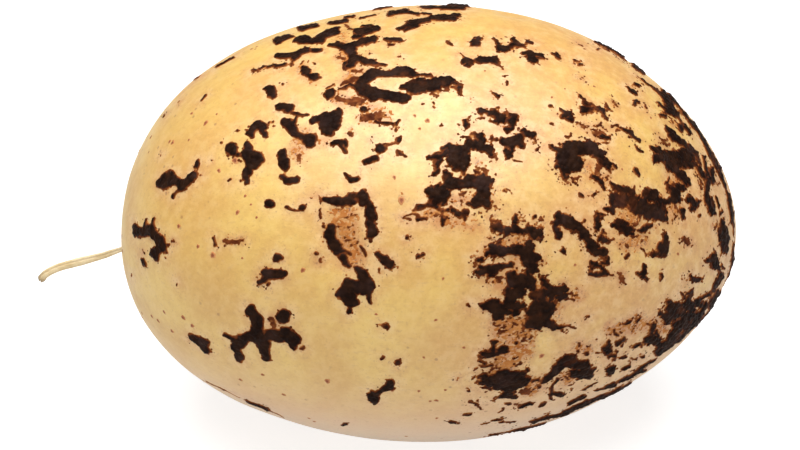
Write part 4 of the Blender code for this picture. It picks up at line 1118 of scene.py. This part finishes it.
def warts(middles, normals, radii, rng):
    """Closed low warts, one at each middle: rings at growing shares of the radius whose height is
    h (1 - share²) less a dimple d exp(-(share / r)²) and less the rim's sink, with a wavy outline stretched a
    little one way, and a buried point below. Also how near its wart's middle each point is, from 0 to 1."""
    share = np.linspace(0, 1, WART_RINGS)[1:]
    turn = np.linspace(0, 2 * math.pi, WART_SIDES, endpoint=False)
    first = unit(np.cross(normals, (0.0, 0.3, 1.0)))
    second = np.cross(normals, first)
    count = len(middles)
    angle = rng.uniform(0, 2 * math.pi, (count, 1, 1))
    stretch = rng.uniform(1.0, 1.5, (count, 1, 1))
    edge = 1 + 0.10 * np.sin(3 * turn + angle) + 0.07 * np.sin(5 * turn + 2.3 * angle)
    reach_out = radii[:, None, None] * share[None, :, None] * edge
    along = reach_out * np.cos(turn) * stretch
    across = reach_out * np.sin(turn)
    height = WART_HEIGHT * (1 - share**2) - DIMPLE_DEPTH * np.exp(-((share / DIMPLE_RADIUS) ** 2)) - RIM_SINK
    lift = radii[:, None, None] * height[None, :, None] * np.ones_like(edge)
    turned = (along * np.cos(angle) - across * np.sin(angle), along * np.sin(angle) + across * np.cos(angle))
    rings = middles[:, None, None] + turned[0][..., None] * first[:, None, None]
    rings = rings + turned[1][..., None] * second[:, None, None] + lift[..., None] * normals[:, None, None]
    tops = middles + normals * (radii * (WART_HEIGHT - DIMPLE_DEPTH - RIM_SINK))[:, None]
    lows = middles - normals * (radii * ROOT_DEPTH)[:, None]
    each = np.concatenate((rings.reshape(count, -1, 3), tops[:, None], lows[:, None]), axis=1)

    size = each.shape[1]
    index = np.arange((WART_RINGS - 1) * WART_SIDES).reshape(WART_RINGS - 1, WART_SIDES)
    after = np.roll(index, -1, axis=1)
    walls = np.stack((index[:-1], index[1:], after[1:], after[:-1]), axis=-1).reshape(-1, 4)
    cap = np.stack((np.full(WART_SIDES, size - 2), index[0], after[0]), axis=-1)
    base = np.stack((np.full(WART_SIDES, size - 1), after[-1], index[-1]), axis=-1)
    start = (np.arange(count) * size)[:, None, None]
    faces = (walls[None] + start).reshape(-1, 4).tolist()
    faces += (np.concatenate((cap, base))[None] + start).reshape(-1, 3).tolist()
    middle_share = np.repeat(np.tile(1 - share, (count, 1)), WART_SIDES, axis=1)
    centre = np.concatenate((middle_share, np.ones((count, 2))), axis=1)
    return each.reshape(-1, 3), faces, centre.reshape(-1)


def lenticel_material():
    """Soft brown cork, darker in the dimple and paler at the rim."""
    made, tree, shader = new_material("lenticel cork")
    mottle, pits = grain(tree, 900.0, 3600.0)
    rim = blend(tree, reach(tree, mottle, 0.35, 0.65), RIM_TAN, RIM_BROWN)
    base = blend(tree, reach(tree, attribute(tree, "centre"), 0.15, 0.75), rim, DIMPLE_BROWN)
    tree.links.new(base, shader.inputs["Base Color"])
    shader.inputs["Roughness"].default_value = 0.7
    bump = add_node(tree, "ShaderNodeBump", {"Height": pits, "Strength": 0.5, "Distance": 0.0001})
    tree.links.new(bump.outputs[0], shader.inputs["Normal"])
    return made


rng = np.random.default_rng(7)
seen = np.array(LENTICELS_SEEN)
sight = unit(line_of_sight()[0] - fine_points)
front = np.flatnonzero((fine_normals * sight).sum(axis=1) > 0.05)[::3]
places = on_sheet(fine_points[front])
chosen = [front[np.argmin(((places - spot) ** 2).sum(axis=1))] for spot in seen[:, 1:]]
free = np.flatnonzero((depth < -1.2) & (fine_points[:, 2] > 2 * MM))
sown = rng.choice(free, LENTICELS_SOWN, replace=False)
radii = np.concatenate((seen[:, 0], rng.uniform(0.15, 0.4, LENTICELS_SOWN))) * MM
chosen = np.concatenate((chosen, sown))
wart_points, wart_faces, wart_centre = warts(fine_points[chosen], fine_normals[chosen], radii, rng)
add_piece("lenticels", wart_points, wart_faces, lenticel_material(), (("centre", wart_centre),))


# ---- table, lights and camera ------------------------------------------------------------------
# A plain white table that glows a little, under one big soft lamp nearly overhead, a faint one at the front
# left and a white sky. The camera is the onlooker's eye, turned to the tuber and shifted a little aside.
TABLE_HALF = 3
GLOW_TO_EYE = 0.75
GLOW_TO_REST = 0.36
KEY_LAMP = ("key", (0.0, -0.06, 0.57), 0.60, 5.5)
FILL_LAMP = ("fill", (-0.28, -0.45, 0.34), 0.40, 0.12)
SKY_STRENGTH = 0.22
WHITE = (1.0, 1.0, 1.0, 1.0)
FRAME_WIDTH = 117.8 * MM
FRAME_SHIFT = (-3.895 * MM, -0.51 * MM)
SENSOR_WIDTH = 36.0


def table_material():
    """A matt pale surface that gives off some light, and less of it to the tuber than to the eye."""
    made, tree, shader = new_material("white table")
    shader.inputs["Base Color"].default_value = (0.5, 0.5, 0.5, 1.0)
    shader.inputs["Roughness"].default_value = 0.9
    shader.inputs["Emission Color"].default_value = WHITE
    to_eye = add_node(tree, "ShaderNodeLightPath").outputs["Is Camera Ray"]
    glow = reach(tree, to_eye, 0.0, 1.0, GLOW_TO_REST, GLOW_TO_EYE)
    tree.links.new(glow, shader.inputs["Emission Strength"])
    return made


def soft_lamp(name, place, size, power):
    """A square area lamp at this place, turned to face the tuber's middle."""
    light = bpy.data.lights.new(name, "AREA")
    light.shape = "SQUARE"
    light.size = size
    light.energy = power
    lamp = bpy.data.objects.new(name, light)
    lamp.location = place
    lamp.rotation_euler = (Vector(SHEET_CENTRE) - Vector(place)).to_track_quat("-Z", "Y").to_euler()
    bpy.context.scene.collection.objects.link(lamp)


table_mesh = bpy.data.meshes.new("table")
corners = [(x * TABLE_HALF, y * TABLE_HALF, 0) for x, y in ((-1, -1), (1, -1), (1, 1), (-1, 1))]
table_mesh.from_pydata(corners, [], [(0, 1, 2, 3)])
table_mesh.materials.append(table_material())
table = bpy.data.objects.new("table", table_mesh)
bpy.context.scene.collection.objects.link(table)

soft_lamp(*KEY_LAMP)
soft_lamp(*FILL_LAMP)

world = bpy.data.worlds.new("white sky")
world.use_nodes = True
sky = world.node_tree.nodes["Background"].inputs
sky["Color"].default_value = WHITE
sky["Strength"].default_value = SKY_STRENGTH
bpy.context.scene.world = world
bpy.context.scene.view_settings.view_transform = "Standard"

lens = bpy.data.cameras.new("onlooker")
lens.sensor_width = SENSOR_WIDTH
lens.lens = SENSOR_WIDTH * SIGHT_DISTANCE / FRAME_WIDTH
lens.shift_x = FRAME_SHIFT[0] / FRAME_WIDTH
lens.shift_y = FRAME_SHIFT[1] / FRAME_WIDTH
camera = bpy.data.objects.new("onlooker", lens)
camera.location = line_of_sight()[0]
camera.rotation_euler = (math.pi / 2 - SIGHT_ELEVATION, 0.0, 0.0)
bpy.context.scene.collection.objects.link(camera)
bpy.context.scene.camera = camera
